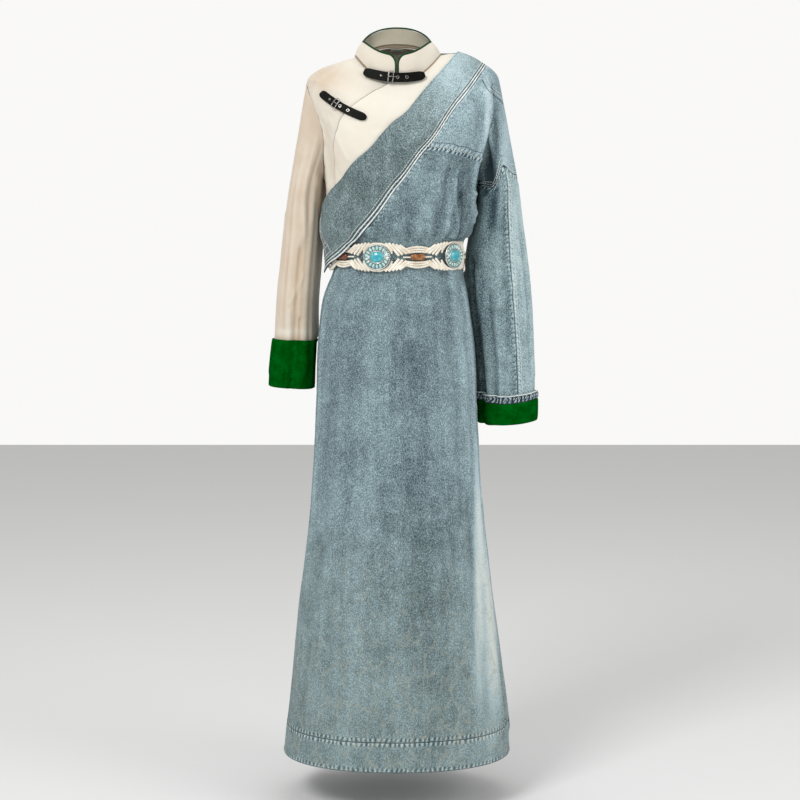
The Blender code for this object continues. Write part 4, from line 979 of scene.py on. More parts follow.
belt_turns = FIRST_PLATE_ANGLE + np.arange(-600, 601) * 0.5
belt_line = belt_point(belt_turns, 0.0, BELT_IN + BELT_WALL / 2)
belt_lengths = np.concatenate([[0], np.cumsum(np.linalg.norm(np.diff(belt_line, axis=0), axis=-1))])
belt_lengths -= belt_lengths[600]


def belt_angle(along):
    return np.interp(along, belt_lengths, belt_turns)


def belt_frame(along, out, angle=None):
    """Point, direction along, up and out on the belt's middle line."""
    angle = float(belt_angle(along)) if angle is None else angle
    away = body_normal(angle, WAIST) * [1, 1, 0]
    away = away / np.linalg.norm(away)
    return belt_point(angle, 0.0, out), np.cross([0, 0, 1], away), np.array([0, 0, 1.0]), away


knot_point, knot_side, _, knot_away = belt_frame(0, BELT_IN + BELT_WALL + 5.0 * MM, KNOT_ANGLE)
for number, (drift, length) in enumerate(((-1, 44), (1, 58)), 1):
    top = knot_point + knot_side * drift * 3.2 * MM + [0, 0, -6.8 * MM - 0.3 * MM]
    sway = knot_side * drift * 9 * MM + knot_away * 3 * MM + np.array([0, 0, -length * MM])
    path = top + sway * np.linspace(0, 1, 24)[:, None]
    tail = joined(f"belt_cord_tail_{number}", twisted(path, 2.0 * MM, 6.5 * MM), belt_cotton)
    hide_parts(f"belt_tail_{number}")
    run = float(np.linalg.norm(sway))
    print("tail", number, round(run, 4))

# %% [markdown]
# ## Cream upper
#
# The upper is soft knit. Its right front is covered by the crossing front, which closes in a curve at
# the wearer's right; both run under the diagonal band. It hangs in a few long soft folds, with pulls
# below the leather straps.

# %% Cream upper panels
SHIRT_FOLDS = (
    Fold("from closing edge to side", -52, 3.6, -70, 5.2, 22, 2.5),
    Fold("below lower strap", -44, 3.2, -60, 5.0, 16, -2.5),
    Fold("from shoulder, back", 235, 2.6, 250, 5.4, 26, 3.0),
    Fold("across back", 190, 2.4, 225, 5.6, 30, -2.5),
)
SHIRT_CREASES = SHIRT_FOLDS + (
    Fold("pull from upper strap", -14, 0.9, -34, 2.5, 9, 1.3),
    Fold("pull under upper strap", 8, 1.2, -8, 2.9, 10, -1.1),
    Fold("pull from lower strap", -48, 3.1, -34, 4.4, 9, 1.4),
    Fold("second pull from lower strap", -56, 3.4, -46, 4.9, 8, -1.2),
    Fold("along the band", 24, 1.4, -12, 3.0, 10, 1.2),
    Fold("from the shoulder", -66, 1.4, -62, 3.6, 10, 1.6),
    Fold("beside the armhole", -80, 2.8, -70, 4.8, 9, -1.6),
    Fold("back pull, high", 206, 1.2, 224, 3.2, 12, 1.8),
    Fold("back pull, low", 214, 3.2, 240, 4.8, 10, -1.5),
    Fold("back fold by the band", 176, 1.8, 204, 4.2, 11, 1.4),
)
ROBE_FOLDS = (
    Fold("edge fold in front of the armhole", 60, 3.0, 74, 6.6, 15, 6.0),
    Fold("hollow beside the edge fold", 40, 3.6, 56, 6.4, 20, -2.0),
    Fold("gather above belt, front left", 52, 5.8, 46, 7.5, 13, 5.0),
    Fold("gather above belt, front", 18, 6.0, 14, 7.5, 14, 3.5),
    Fold("hollow above belt", 32, 6.0, 32, 7.4, 13, -1.8),
    Fold("pull under the yoke", 28, 4.4, 24, 6.4, 16, 2.5),
    Fold("gather above belt, side", 76, 6.2, 84, 7.5, 13, 4.0),
    Fold("gather above belt, front right", -22, 6.9, -18, 7.5, 15, 3.0),
    Fold("edge fold behind the armhole", 120, 3.2, 108, 6.6, 18, 6.0),
    Fold("back pull", 150, 3.6, 138, 7.4, 20, 4.0),
    Fold("back hollow", 136, 4.6, 126, 7.4, 16, -1.8),
    Fold("back gather", 172, 5.4, 168, 7.5, 17, 4.0),
    Fold("back gather, right", 200, 6.2, 196, 7.5, 17, 3.5),
)
ROBE_CREASES = ROBE_FOLDS + (
    Fold("ridge of the edge fold", 57, 2.7, 66, 5.4, 9, 4.0),
    Fold("long ridge to the belt", 42, 5.0, 49, 7.5, 8, 6.0),
    Fold("hollow beside the long ridge", 52, 5.4, 55, 7.5, 7, -5.0),
    Fold("ridge near the side", 68, 5.4, 62, 7.5, 8, 5.0),
    Fold("hollow under the yoke", 34, 4.7, 38, 6.4, 7, -2.6),
    Fold("ridge to the belt, front", 20, 5.6, 24, 7.5, 8, 3.0),
    Fold("hollow to the belt, front", 28, 5.8, 31, 7.5, 7, -2.6),
    Fold("hollow behind the ridge", 67, 3.0, 76, 5.6, 8, -6.0),
    Fold("crease beside the edge fold", 68, 3.6, 80, 5.6, 7, -4.7),
    Fold("crease from yoke seam", 44, 4.7, 40, 6.2, 7, 2.8),
    Fold("second crease from yoke seam", 52, 4.9, 54, 6.0, 6, -2.5),
    Fold("cinch by the band", -2, 6.7, 4, 7.6, 7, 3.1),
    Fold("cinch hollow by the band", 6, 6.6, 9, 7.6, 6, -2.5),
    Fold("cinch, front left", 40, 6.6, 37, 7.6, 6, 3.4),
    Fold("cinch hollow, front left", 46, 6.6, 42, 7.6, 5, -2.5),
    Fold("cinch, left", 60, 6.6, 57, 7.6, 6, 3.4),
    Fold("cinch hollow, left", 66, 6.7, 64, 7.6, 6, -3.1),
    Fold("slanting pull to the belt", 64, 5.4, 52, 7.0, 8, 3.1),
    Fold("crease under the arm", 80, 5.3, 70, 6.6, 7, 3.1),
    Fold("yoke pull to the shoulder", 52, 2.4, 62, 3.9, 8, 2.5),
    Fold("yoke hollow to the shoulder", 46, 2.6, 52, 4.2, 8, -2.2),
    Fold("back yoke pull", 130, 2.6, 118, 4.0, 9, 2.8),
    Fold("back crease from yoke", 142, 4.6, 146, 6.4, 8, 3.1),
    Fold("back crease, second", 128, 4.9, 124, 6.4, 7, -2.5),
    Fold("back cinch, left", 120, 6.5, 118, 7.6, 7, 3.4),
    Fold("back cinch hollow", 128, 6.6, 128, 7.6, 6, -2.8),
    Fold("back cinch, middle", 156, 6.4, 154, 7.6, 7, 3.4),
    Fold("back cinch, right", 184, 6.5, 183, 7.6, 7, 3.1),
    Fold("back cinch hollow, right", 190, 6.6, 190, 7.6, 6, -2.5),
    Fold("back cinch, far right", 212, 6.9, 210, 7.6, 7, 2.8),
)
SHIRT_ARM_FOLDS = (
    Fold("front crease", 96, 2.2, 92, 5.2, 10, -4.0),
    Fold("front ridge", 66, 0.6, 70, 4.4, 14, 2.5),
    Fold("inner front ridge", 128, 0.8, 122, 4.6, 13, 2.5),
    Fold("back crease", 262, 1.8, 266, 5.0, 12, -4.0),
    Fold("back ridge", 296, 0.6, 290, 4.6, 14, 2.5),
)
SHIRT_ARM_CREASES = SHIRT_ARM_FOLDS + (
    Fold("back of the sleeve against the body", 206, 0.8, 208, 3.9, 22, 11.0),
    Fold("long fold, outer front", 44, 0.8, 50, 3.4, 9, 2.1),
    Fold("hollow beside it", 54, 1.0, 58, 3.8, 7, -2.0),
    Fold("upper arm fold", 84, 0.3, 104, 1.9, 10, 2.3),
    Fold("upper arm hollow", 104, 0.3, 116, 1.6, 9, -2.3),
    Fold("elbow pull", 110, 2.6, 78, 3.1, 8, 2.0),
    Fold("forearm fold", 76, 3.3, 80, 4.9, 8, 2.6),
    Fold("forearm hollow", 108, 3.5, 104, 5.0, 7, -2.6),
    Fold("inner fold", 150, 1.6, 146, 4.8, 9, 2.0),
    Fold("back fold, long", 240, 0.6, 244, 3.6, 9, 2.3),
    Fold("back hollow, long", 228, 1.2, 232, 4.4, 8, -2.1),
    Fold("back forearm fold", 280, 3.0, 278, 5.0, 8, 2.3),
    Fold("outer long fold", 8, 1.4, 4, 4.6, 10, 1.6),
    Fold("back outer hollow", 328, 1.0, 334, 4.2, 9, -1.6),
)
ROBE_ARM_FOLDS = (
    Fold("hollow beside the body", 118, 0.45, 142, 1.4, 19, -9.0),
    Fold("inner fold", 136, 3.4, 130, 7.2, 12, 4.0),
    Fold("inner hollow", 156, 3.2, 154, 7.2, 14, -9.0),
    Fold("front ridge", 92, 1.4, 96, 5.2, 16, 3.5),
    Fold("front hollow", 76, 2.0, 80, 6.0, 12, -2.5),
    Fold("outer pull", 28, 1.2, 20, 5.6, 15, 3.0),
    Fold("back hollow", 238, 0.5, 222, 2.0, 18, -7.0),
    Fold("back ridge", 268, 1.4, 262, 5.6, 17, 4.0),
    Fold("back pull", 306, 1.6, 312, 5.8, 16, 3.0),
)
ROBE_ARM_CREASES = ROBE_ARM_FOLDS + (
    Fold("deep hollow by the body", 108, 0.1, 132, 1.1, 15, -12.0),
    Fold("ridge outside the hollow", 82, 0.1, 96, 1.2, 12, 5.0),
    Fold("hollow below the armhole", 100, 1.1, 112, 2.4, 13, -7.0),
    Fold("back of the sleeve against the body", 203, 0.85, 209, 2.4, 24, 13.0),
    Fold("back of the sleeve, lower", 196, 3.6, 204, 6.0, 24, 13.0),
    Fold("sleeve held off at the belt", 210, 2.2, 200, 3.8, 24, 9.0),
    Fold("dark inner fold near the cuff", 148, 4.2, 146, 6.4, 8, -6.0),
    Fold("crease below the armhole", 104, 0.3, 120, 1.4, 7, -3.8),
    Fold("pull below the armhole", 92, 0.3, 104, 1.6, 8, 3.5),
    Fold("cross pull at the elbow", 60, 3.6, 100, 4.1, 7, 2.6),
    Fold("cross hollow at the elbow", 64, 3.9, 98, 4.4, 6, -2.2),
    Fold("forearm crease", 112, 3.8, 116, 6.2, 7, -4.2),
    Fold("forearm ridge", 104, 4.4, 106, 6.4, 7, 3.2),
    Fold("pull above the cuff", 84, 5.2, 92, 6.2, 7, 2.9),
    Fold("hollow above the cuff", 70, 5.2, 72, 6.2, 7, -2.2),
    Fold("outer crease", 48, 1.8, 44, 4.6, 8, 2.6),
    Fold("outer hollow", 36, 2.4, 34, 5.6, 8, -2.2),
    Fold("back crease", 284, 1.0, 288, 3.8, 8, -3.2),
    Fold("back cross pull", 250, 3.6, 286, 4.0, 8, 2.9),
    Fold("back low crease", 240, 4.0, 246, 6.2, 8, -3.5),
    Fold("back outer ridge", 322, 2.4, 326, 5.8, 8, 2.9),
)
SHIRT_ARMHOLE, ROBE_ARMHOLE = Armhole(-1, 34, 30), Armhole(1, 27, 26)
shirt_arm = Arm(SHIRT_ARMHOLE, SHIRT_ARM, SHIRT_OUT, SHIRT_FOLDS, SHIRT_ARM_CREASES)
robe_arm = Arm(ROBE_ARMHOLE, ROBE_ARM, ROBE_OUT, ROBE_FOLDS, ROBE_ARM_CREASES)
CLOSING_EDGE = ((-14, -41), (-43, -54), (-71, -73), (-94, -95), (-107, -127), (-114, -164), (-114, -233))
HALF = np.arange(0, 181, 18.0)


def under_band(first, last, count):
    """Places under the band where the upper ends, out of sight."""
    stations = np.linspace(first, last, count)
    places = band(stations, 0.3 + 0.28 * np.sin(math.pi * np.minimum(stations, 2) / 2))
    places[:, 2] = 0
    return places


def top_rows(count):
    level = shoulder_level(LAPEL[0].upper_x)
    return [np.array([90.0, level * i / count, 0.0]) for i in range(count)]


closing = [find(x, z) for x, z in CLOSING_EDGE]
closing[0] = np.array([-5.0, 0, 0])
end_level = band(LAST_STATION, 0.3)[1]


def hole_edge(hole, back):
    """The armhole's edge of a front panel, or of a back panel laid out as a front one."""
    if not back:
        return armhole(hole, HALF)
    places = behind(armhole(hole, 360 - HALF))
    places[:, 0] = (places[:, 0] + 180) % 360 - 180
    return places


def shirt_side(back):
    """The side of an upper panel: shoulder seam, armhole, side seam."""
    edge = [np.array([-90.0, SHOULDER_TIP * i / 4, 0]) for i in range(4)]
    edge += list(hole_edge(SHIRT_ARMHOLE, back))
    edge += [np.array([-90.0, UNDERARM + (end_level - UNDERARM) * (i + 1) / 3, 0]) for i in range(3)]
    return np.array(edge)


side = shirt_side(False)
# spots of painted shade beside the right sleeve, at the right shoulder, low on the right front and inside the back of
# the neck, and painted light on the chest
CREAM_PAINTED_SHADE_AND_LIGHT = (
    (-150, -1, -120, 40, 90, -0.16), (30, -1, -60, 60, 60, 0.12), (0, 1, 40, 80, 60, -0.1),
    (-95, -1, -190, 50, 50, -0.12), (-130, -1, -25, 45, 35, -0.4),
)
cream_look = dict(look=cream, slot="cream_knit", base=0.7, spots=CREAM_PAINTED_SHADE_AND_LIGHT, uneven=0.45 * MM)

under = np.concatenate([np.array(closing) + [7.0, 0, 0], under_band(5.1, 6.4, 4)])
rows = between(side, even(under, count=len(side)), 44)
body_cloth("upper_front_under", finer(rows, 6), SHIRT_OUT, SHIRT_CREASES, replaced=["shirt_front_under"],
           seams=("top", "first"), puckers=[Pucker("first", 8, 0.25, 5)], rests_on=["collar"], **cream_look)

far = np.concatenate([top_rows(2), under_band(0, 4.9, 14)])
near = even(np.array(closing + [find(-112, -250)]), count=len(far))
rows = between(near, far, 76)
crossed_look = {**cream_look, "look": cream_front}
body_cloth("upper_front_crossed", finer(rows, 7), CROSSED_OUT, SHIRT_CREASES, replaced=["shirt_front_crossed"],
           seams=("top", "first", "last"), puckers=[Pucker("first", 9, 0.3, 6)], rests_on=["collar"],
           shift=2.0, **crossed_look)

far = np.concatenate([top_rows(2), under_band(0, 6.4, len(side) - 2)])
rows = between(shirt_side(True), far, 84)
body_cloth("upper_back", finer(rows, 6), SHIRT_OUT, SHIRT_CREASES, back=True, replaced=["shirt_back"],
           seams=("top", "first", "last"), puckers=[Pucker("first", 8, 0.25, 5)], rests_on=["collar"],
           shift=4.0, **cream_look)

phis, stations = np.arange(0, 360, 4.0), np.concatenate([[0.004], np.linspace(0.05, 4.95, 100)])
lift = relief(SHIRT_ARM_CREASES, phis[None, :], stations[:, None], 0.9, 80.0)
hem_tint = ((-245, -1, -487, 90, 7, 0.3),)
cloth("upper_sleeve", shirt_arm.grid(phis, stations), shirt_arm.normal(phis, stations), lift=lift, closed=True,
      replaced=["shirt_sleeve"], seams=("top",), puckers=[Pucker("top", 9, 0.35, 6)], rests_on=["shirt_back"],
      look=cream, slot="cream_knit", base=0.30, spots=hem_tint, uneven=0.6 * MM, shift=7.0)
print("cream upper", flat_sizes)

# %% [markdown]
# ## Standing collar
#
# The collar is a doubled band of the same knit, with a green cord sewn along its rim and down its two
# front edges. Its front corners are round. Inside, a tape covers the back of the neck seam.

# %% Collar, piping, neck tape and tab
COLLAR_WALL, PIPING_RADIUS, RIM_ROUND = 2.6 * MM, 1.5 * MM, 1.35


def collar_rim(angle):
    s, c = math.sin(math.radians(angle)), math.cos(math.radians(angle))
    x = 64 * MM * math.copysign(abs(s) ** ROUNDNESS, s)
    y = (-77 if c > 0 else 71) * MM * abs(c) ** ROUNDNESS
    z = 40 - 32 * c * c if c > 0 else 40 + 33 * abs(c) ** RIM_ROUND
    return np.array([x, y, z * MM])


def collar_point(angle, share, depth):
    corner = max(0.0, 1 - (abs(angle) - 2.2) / 10)
    top = 1 - 0.36 * (1 - math.sqrt(max(0.0, 1 - corner**2)))
    base = body(angle, 0) + [0, 0, 0.9 * MM]
    rise = collar_rim(angle) - base
    away = unit(np.cross(body(angle + 1, 0) - body(angle - 1, 0), rise))
    roll = 0.7 * MM * math.sin(angle / 9.0) * math.sin(math.pi * share)
    return base + rise * share * top + away * (math.sin(math.pi * share * top) * 2.0 * MM + roll - depth)


half_turn = np.concatenate([[2.2, 2.8, 3.6, 4.5, 5.5, 6.7, 8, 9.5], np.arange(11, 181, 3.0)])
turns = np.concatenate([-half_turn, half_turn[::-1][1:]])
shares = np.linspace(1, 0, 15)
points = np.array([[collar_point(angle, share, 0) for angle in turns] for share in shares])
# the back half of the collar is darkened by a spot: painted shade on its inside, seen through the neck
cloth("standing_collar", points, points * [1, 1, 0], cream, "cream_knit", ["collar"], wall=COLLAR_WALL,
      seams=("bottom",), puckers=[Pucker("bottom", 7, 0.3, 5)], base=0.58, spots=((0, 1, 40, 90, 40, -0.3),),
      uneven=0.25 * MM, rests_on=["shirt_back", "shirt_front_crossed"])
edge = [collar_point(turns[0], share, COLLAR_WALL / 2) for share in (0.25, 0.35, 0.45, 0.58, 0.7)]
places = [turns[0]] * len(edge) + list(turns) + [turns[-1]] * len(edge)
edge += [collar_point(angle, 1, COLLAR_WALL / 2) for angle in turns]
edge += [collar_point(turns[-1], share, COLLAR_WALL / 2) for share in (0.7, 0.58, 0.45, 0.35, 0.25)]
edge = np.array(edge)
along = unit(np.gradient(edge, axis=0))
route = []
for index, (point, angle) in enumerate(zip(edge, places)):
    flat = np.cross(collar_rim(angle) - body(angle, 0), body(angle + 1, 0) - body(angle - 1, 0))
    out = unit(np.cross(flat, along[index]))
    within = angle + math.copysign(12, angle)
    if out @ (point - collar_point(within, 0.4, COLLAR_WALL / 2)) < 0:
        out = -out
    route.append(point + out * (PIPING_RADIUS + 0.3 * MM))
route = even(route, spacing=2.0 * MM)
for _ in range(3):
    route[1:-1] = (route[:-2] + route[1:-1] * 2 + route[2:]) / 4
piping = joined("collar_cord", [tube_parts(route, rounded(route, PIPING_RADIUS), 10)], green_cord)
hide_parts("collar_piping")

seam_turns = np.linspace(118, 242, 40)
tape_line = np.array([collar_point((a + 180) % 360 - 180, 0.07, COLLAR_WALL + 0.3 * MM) for a in seam_turns])
tube = tube_parts(tape_line, rounded(tape_line, 1.6 * MM), 8, flat=0.5, up=np.array([0, 0, 1.0]))
# the tape's colour is painted shade
joined("neck_seam_tape", [tube], neck_tape_in_painted_shade)
label = frame["nodes"]["neck_label"]
label.data.materials.clear()
label.data.materials.append(tape)
print("collar done")

# %% [markdown]
# ## Denim yokes and bodice
#
# The shoulder drops past the armhole, so each yoke carries the first part of the sleeve down to its
# seam. The bodice below is gathered into the belt: folds start at the yoke or the band and grow
# towards the waist.

# %% Yokes and bodice
YOKE_ROWS = 10
YOKE_SEAM = ((54, -150), (80, -156), (107, -162), (135, -169), (158, -177))
neck_side = band(np.linspace(0, YOKE_STATION, YOKE_ROWS + 1), 1.0)
underarm_place = [90.0, UNDERARM, 0.0]
seam_places = np.array([band(YOKE_STATION, 1.0)] + [find(x, z) for x, z in YOKE_SEAM[1:]] + [underarm_place])
seam_turns, seam_levels = seam_places[:, 0], seam_places[:, 1]


def seam_drop(places):
    """How far below a straight run the yoke seam lies, at each place of a row."""
    return np.interp(places[:, 0], seam_turns, seam_levels) - places[:, 1]


def dropped_seam(phi):
    """The station of the dropped sleeve seam round the arm: high in front, lower under the arm."""
    phi = (np.asarray(phi, float) + 180) % 360 - 180
    return 1 - 0.2 * np.exp(-(((phi - 74) / 21) ** 2)) + 0.26 * np.exp(-(((phi - 122) / 24) ** 2))


drops = np.linspace(0, 1, 15)
denim_look = dict(look=denim_body, slot="washed_denim", uneven=0.75 * MM)
yoke_look = {**denim_look, "look": denim_yoke}
seam_lines = {}
# spots of painted shade in the hollow where the sleeve meets the body, and painted highlights on the edge fold's ridge
# and on the area beside it
YOKE_PAINTED_SHADE_AND_LIGHT = (
    (110, -1, -110, 45, 70, 0.08), (200, -1, -130, 15, 60, 0.36), (176, -1, -140, 8, 56, -0.7),
    (169, -1, -205, 13, 32, -1.0), (163, -1, -110, 4, 75, 0.42),
)
for name, back in (("front", False), ("back", True)):
    flat_rows = between(neck_side, hole_edge(ROBE_ARMHOLE, back), 44)
    yoke_drop = seam_drop(flat_rows[-1])
    for index in range(len(flat_rows)):
        flat_rows[index, :, 1] += yoke_drop * (index / YOKE_ROWS) ** 2
    seam_lines[name] = behind(flat_rows[-1]) if back else flat_rows[-1].copy()
    places = finer(behind(flat_rows) if back else flat_rows, 6)
    phi = np.linspace(0, 180, len(places))
    around = (-phi if back else phi) % 360
    drop = np.array([robe_arm.grid([turn], drops * dropped_seam(turn), fade=0.2)[:, 0] for turn in around])
    normals = np.array([robe_arm.normal([turn], drops * dropped_seam(turn))[:, 0] for turn in around])
    size = np.array([relief(robe_arm.folds, turn, drops * dropped_seam(turn), 0.9, 80.0) for turn in around])
    points = np.concatenate([on_body(places[:, :-1], ROBE_OUT, ROBE_CREASES), drop], axis=1)
    outside = np.concatenate([body_normal(places[:, :-1, 0], places[:, :-1, 1]), normals], axis=1)
    lift = np.concatenate([relief(ROBE_CREASES, places[:, :-1, 0], places[:, :-1, 1], 2.1, 62.0), size], axis=1)
    cloth(f"robe_yoke_{name}", points, outside, lift=lift, replaced=[f"robe_{name}_yoke"], base=0.34, spots=YOKE_PAINTED_SHADE_AND_LIGHT,
          seams=("top", "bottom", "first", "last"), rests_on=[f"lapel_{name}"], shift=9.0 + back,
          puckers=[Pucker("bottom", 8, 0.5, 6), Pucker("last", 8, 0.5, 6), Pucker("first", 9, 0.25, 5)], **yoke_look)

UNDER_BAND = ((-44, 7.5), (-52, 8.0), (-62, 8.4), (-75, 8.8), (-90, 9.2))
near = band(np.linspace(YOKE_STATION, BELT_STATION, 7), 1.0)
near[:, 2] = 0
near = np.concatenate([near, [[angle, level, 0] for angle, level in UNDER_BAND]])
far = [[90, UNDERARM + (BLOUSE - UNDERARM) * i / 6, 0] for i in range(7)] + [[90, level, 0] for _, level in UNDER_BAND]
rows = between(near, far, 96)
bodice_drop = seam_drop(rows[0])
for index in range(6):
    rows[index, :, 1] += bodice_drop * (1 - index / 6) ** 2
# spots of painted highlights on fold ridges and painted shade in the hollows beside them and near the armhole
BODICE_PAINTED_SHADE_AND_LIGHT = (
    (60, -1, -280, 60, 60, -0.06), (125, -1, -225, 16, 60, -0.12), (154, -1, -200, 4, 26, 0.4),
    (92, -1, -270, 5, 40, 0.22), (106, -1, -280, 6, 30, -0.3), (20, -1, -200, 50, 50, 0.06),
)
for name, back in (("front", False), ("back", True)):
    body_cloth(f"robe_bodice_{name}", finer(rows, 9), ROBE_OUT, ROBE_CREASES, back=back, base=0.13, spots=BODICE_PAINTED_SHADE_AND_LIGHT,
               replaced=[f"robe_{name}_bodice"], seams=("top", "first", "last"), rests_on=[f"robe_{name}_yoke"],
               shift=12.0 + back, puckers=[Pucker("top", 8, 0.55, 7), Pucker("last", 9, 0.4, 6)],
               held="gathered", **denim_look)

# %% [markdown]
# ## Diagonal band
#
# The band runs over the shoulder, front and back, from the neck to a point at the wearer's right
# side, and lies over the belt there. Its lower edge is worn pale along a double row of stitches.

# %% Diagonal band
BAND_CREASES = ROBE_FOLDS[:1] + (
    Fold("shallow roll along the band", 34, 1.6, -10, 4.2, 16, 1.4),
    Fold("roll near the end", -40, 5.4, -70, 7.6, 15, 1.2),
    Fold("cross pull, high", 40, 1.5, 46, 2.4, 9, 0.9),
    Fold("cross pull, low", -34, 4.9, -26, 5.8, 9, -0.9),
    Fold("back roll", 150, 1.6, 196, 4.4, 16, 1.4),
    Fold("back roll near the end", 222, 5.4, 250, 7.6, 15, 1.2),
)
stations = np.concatenate([np.linspace(0, 5, 120), np.linspace(5, LAST_STATION, 50)[1:]])
across = np.linspace(0, 1, 21)
BAND_SPOTS = ((95, -1, -20, 62, 75, 0.55), (-60, -1, -260, 90, 60, -0.06))
for name, back in (("front", False), ("back", True)):
    places = band(stations[:, None], across[None, :])
    body_cloth(f"diagonal_band_{name}", places, ROBE_OUT, BAND_CREASES, back=back, look=denim_band, slot="lapel_denim",
               base=0.0, spots=BAND_SPOTS, replaced=[f"lapel_{name}"], seams=("top", "bottom", "last"),
               shift=15.0 + back,
               rests_on=["shirt_front_crossed" if not back else "shirt_back"], uneven=0.5 * MM,
               puckers=[Pucker("last", 7, 0.45, 6), Pucker("bottom", 8, 0.3, 6)])
print("denim top done")

# %% [markdown]
# ## Denim sleeve and its turned cuff
#
# The sleeve has a seam down its front, set a little to the outer side, so it is cut as an outer and an
# inner panel. At its end a dark hem edge and a green fleece cuff are turned back over it.

# %% Denim sleeve
stations = np.concatenate([np.linspace(1, 6.93, 118)])
# spots of painted shade in the hollow below the armhole and in the inner folds, and painted highlights on the sleeve's
# ridges and outer side
SLEEVE_PAINTED_SHADE_AND_LIGHT = (
    (176, -1, -262, 17, 52, -0.45), (150, -1, -560, 9, 80, -1.0), (150, -1, -430, 9, 90, -0.3),
    (235, -1, -330, 24, 160, 0.12), (214, -1, -430, 6, 220, 0.16), (178, -1, -500, 9, 90, 0.14),
)
FRONT_SEAM, BACK_SEAM = 69, -111
# the inner panel gets a lower base: painted shade on the side of the sleeve that faces the body
for name, start, base in (("outer", BACK_SEAM, 0.36), ("inner", FRONT_SEAM, 0.09)):
    phis = start + np.arange(0, 181, 4.0)
    levels = stations[:, None] + (dropped_seam(phis) - 1) * (1 - smooth((stations[:, None] - 1) / 0.9))
    points = np.stack([robe_arm.grid([phi], levels[:, i], fade=0.2)[:, 0] for i, phi in enumerate(phis)], axis=1)
    normals = np.stack([robe_arm.normal([phi], levels[:, i])[:, 0] for i, phi in enumerate(phis)], axis=1)
    lift = relief(ROBE_ARM_CREASES, phis[None, :] % 360, levels, 0.9, 80.0)
    cloth(f"denim_sleeve_{name}", points, normals, denim_sleeve,
          "sleeve_denim", [f"robe_sleeve_{name}"], lift=lift, base=base, spots=SLEEVE_PAINTED_SHADE_AND_LIGHT, uneven=0.9 * MM,
          seams=("top", "first", "last"), shift=18.0 + start,
          puckers=[Pucker("top", 8, 0.5, 7), Pucker("first", 9, 0.45, 6), Pucker("last", 9, 0.45, 6)],
          rests_on=["robe_front_yoke", "robe_back_yoke"])


def sag(phi):
    """How far, in stations, the denim sleeve's cuff hangs lower in front than at its sides."""
    phi = (np.asarray(phi, float) + 180) % 360 - 180
    return 0.085 * np.exp(-(((phi - 98) / 46) ** 2)) - 0.03 * np.exp(-(((phi - 18) / 20) ** 2))


def turned_cuff(name, arm, table, look, slot, replaced, wave, seams=(), hang=0.0):
    """A cuff over a sleeve, from a table of stations and distances off the sleeve, in millimetres."""
    phis = np.arange(0, 360, 4.0)
    table = np.array(table, float)
    stations = np.linspace(table[0, 0], table[-1, 0], 40)
    away = np.interp(stations, table[:, 0], table[:, 1])
    depth = -away[:, None] * MM
    points = np.stack([arm.grid([phi], stations + hang * sag(phi), depth)[:, 0] for phi in phis], axis=1)
    normals = arm.normal(phis, stations)
    wobble = np.sin(np.radians(phis * 3 + 40))[None, :] * wave * MM * np.sin(math.pi * np.linspace(0, 1, 40))[:, None]
    points = points + normals * wobble[..., None]
    return cloth(name, points, normals, look, slot, replaced, wall=1.8 * MM, closed=True, uneven=0.6 * MM, seams=seams)


CUFF_EDGE = ((6.04, 6.0), (6.10, 6.9), (6.17, 7.0), (6.225, 6.4))
turned_cuff("cuff_edge_band", robe_arm, CUFF_EDGE, denim_dark, "dark_denim", ["robe_cuff_edge"], 0.3,
            seams=("top", "bottom"), hang=1.0)
ROBE_CUFF = ((6.232, 6.2), (6.27, 6.8), (6.5, 6.9), (6.75, 7.1), (6.88, 6.8), (6.93, 4.6), (6.938, 2.9))
turned_cuff("green_cuff_left", robe_arm, ROBE_CUFF, green, "green_knit", ["robe_cuff"], 0.8, hang=1.0)
SHIRT_CUFF = ((4.02, 4.4), (4.06, 5.0), (4.28, 5.4), (4.54, 5.9), (4.8, 6.4), (4.92, 6.4), (4.948, 4.6), (4.956, 2.9))
turned_cuff("green_cuff_right", shirt_arm, SHIRT_CUFF, green, "green_knit", ["shirt_cuff"], 0.9)
print("sleeve and cuffs done")

# %% [markdown]
# ## Skirt and hem band
#
# The skirt is one front and one back panel that widen to the hem. It hangs in broad soft folds, with
# a deeper one at the wearer's left. The wide hem band is turned up and sewn, and its sewing line ropes
# a little, as a washed denim hem does.

# %% Skirt
SKIRT_FOLDS = (
    Fold("side ridge, left", 68, 10.6, 69, 16.6, 15, 5.0),
    Fold("side hollow, left", 80, 11.4, 79, 16.8, 17, -9.0),
    Fold("rear side ridge, left", 102, 14.0, 94, 17.2, 20, 5.0),
    Fold("hip pull, left", 52, 9.8, 55, 13.6, 17, 3.5),
    Fold("hip hollow, left", 41, 10.0, 44, 14.0, 18, -2.5),
    Fold("side ridge, right", -66, 10.0, -72, 14.4, 14, 4.0),
    Fold("side hollow, right", -77, 10.2, -81, 14.0, 13, -4.0),
    Fold("front sweep", -12, 11.4, -24, 17.0, 36, 3.0),
    Fold("front hollow", 12, 12.0, 20, 17.2, 34, -3.0),
    Fold("back fold, left", 124, 10.2, 118, 17.4, 24, 7.0),
    Fold("back hollow, left", 142, 10.6, 139, 17.4, 24, -5.0),
    Fold("back fold, middle", 166, 10.2, 170, 17.0, 28, 6.0),
    Fold("back hollow, right", 192, 10.8, 197, 17.4, 25, -5.0),
    Fold("back fold, right", 218, 10.2, 224, 17.2, 25, 7.0),
    Fold("rear side hollow, right", 243, 11.0, 246, 16.6, 20, -5.0),
)
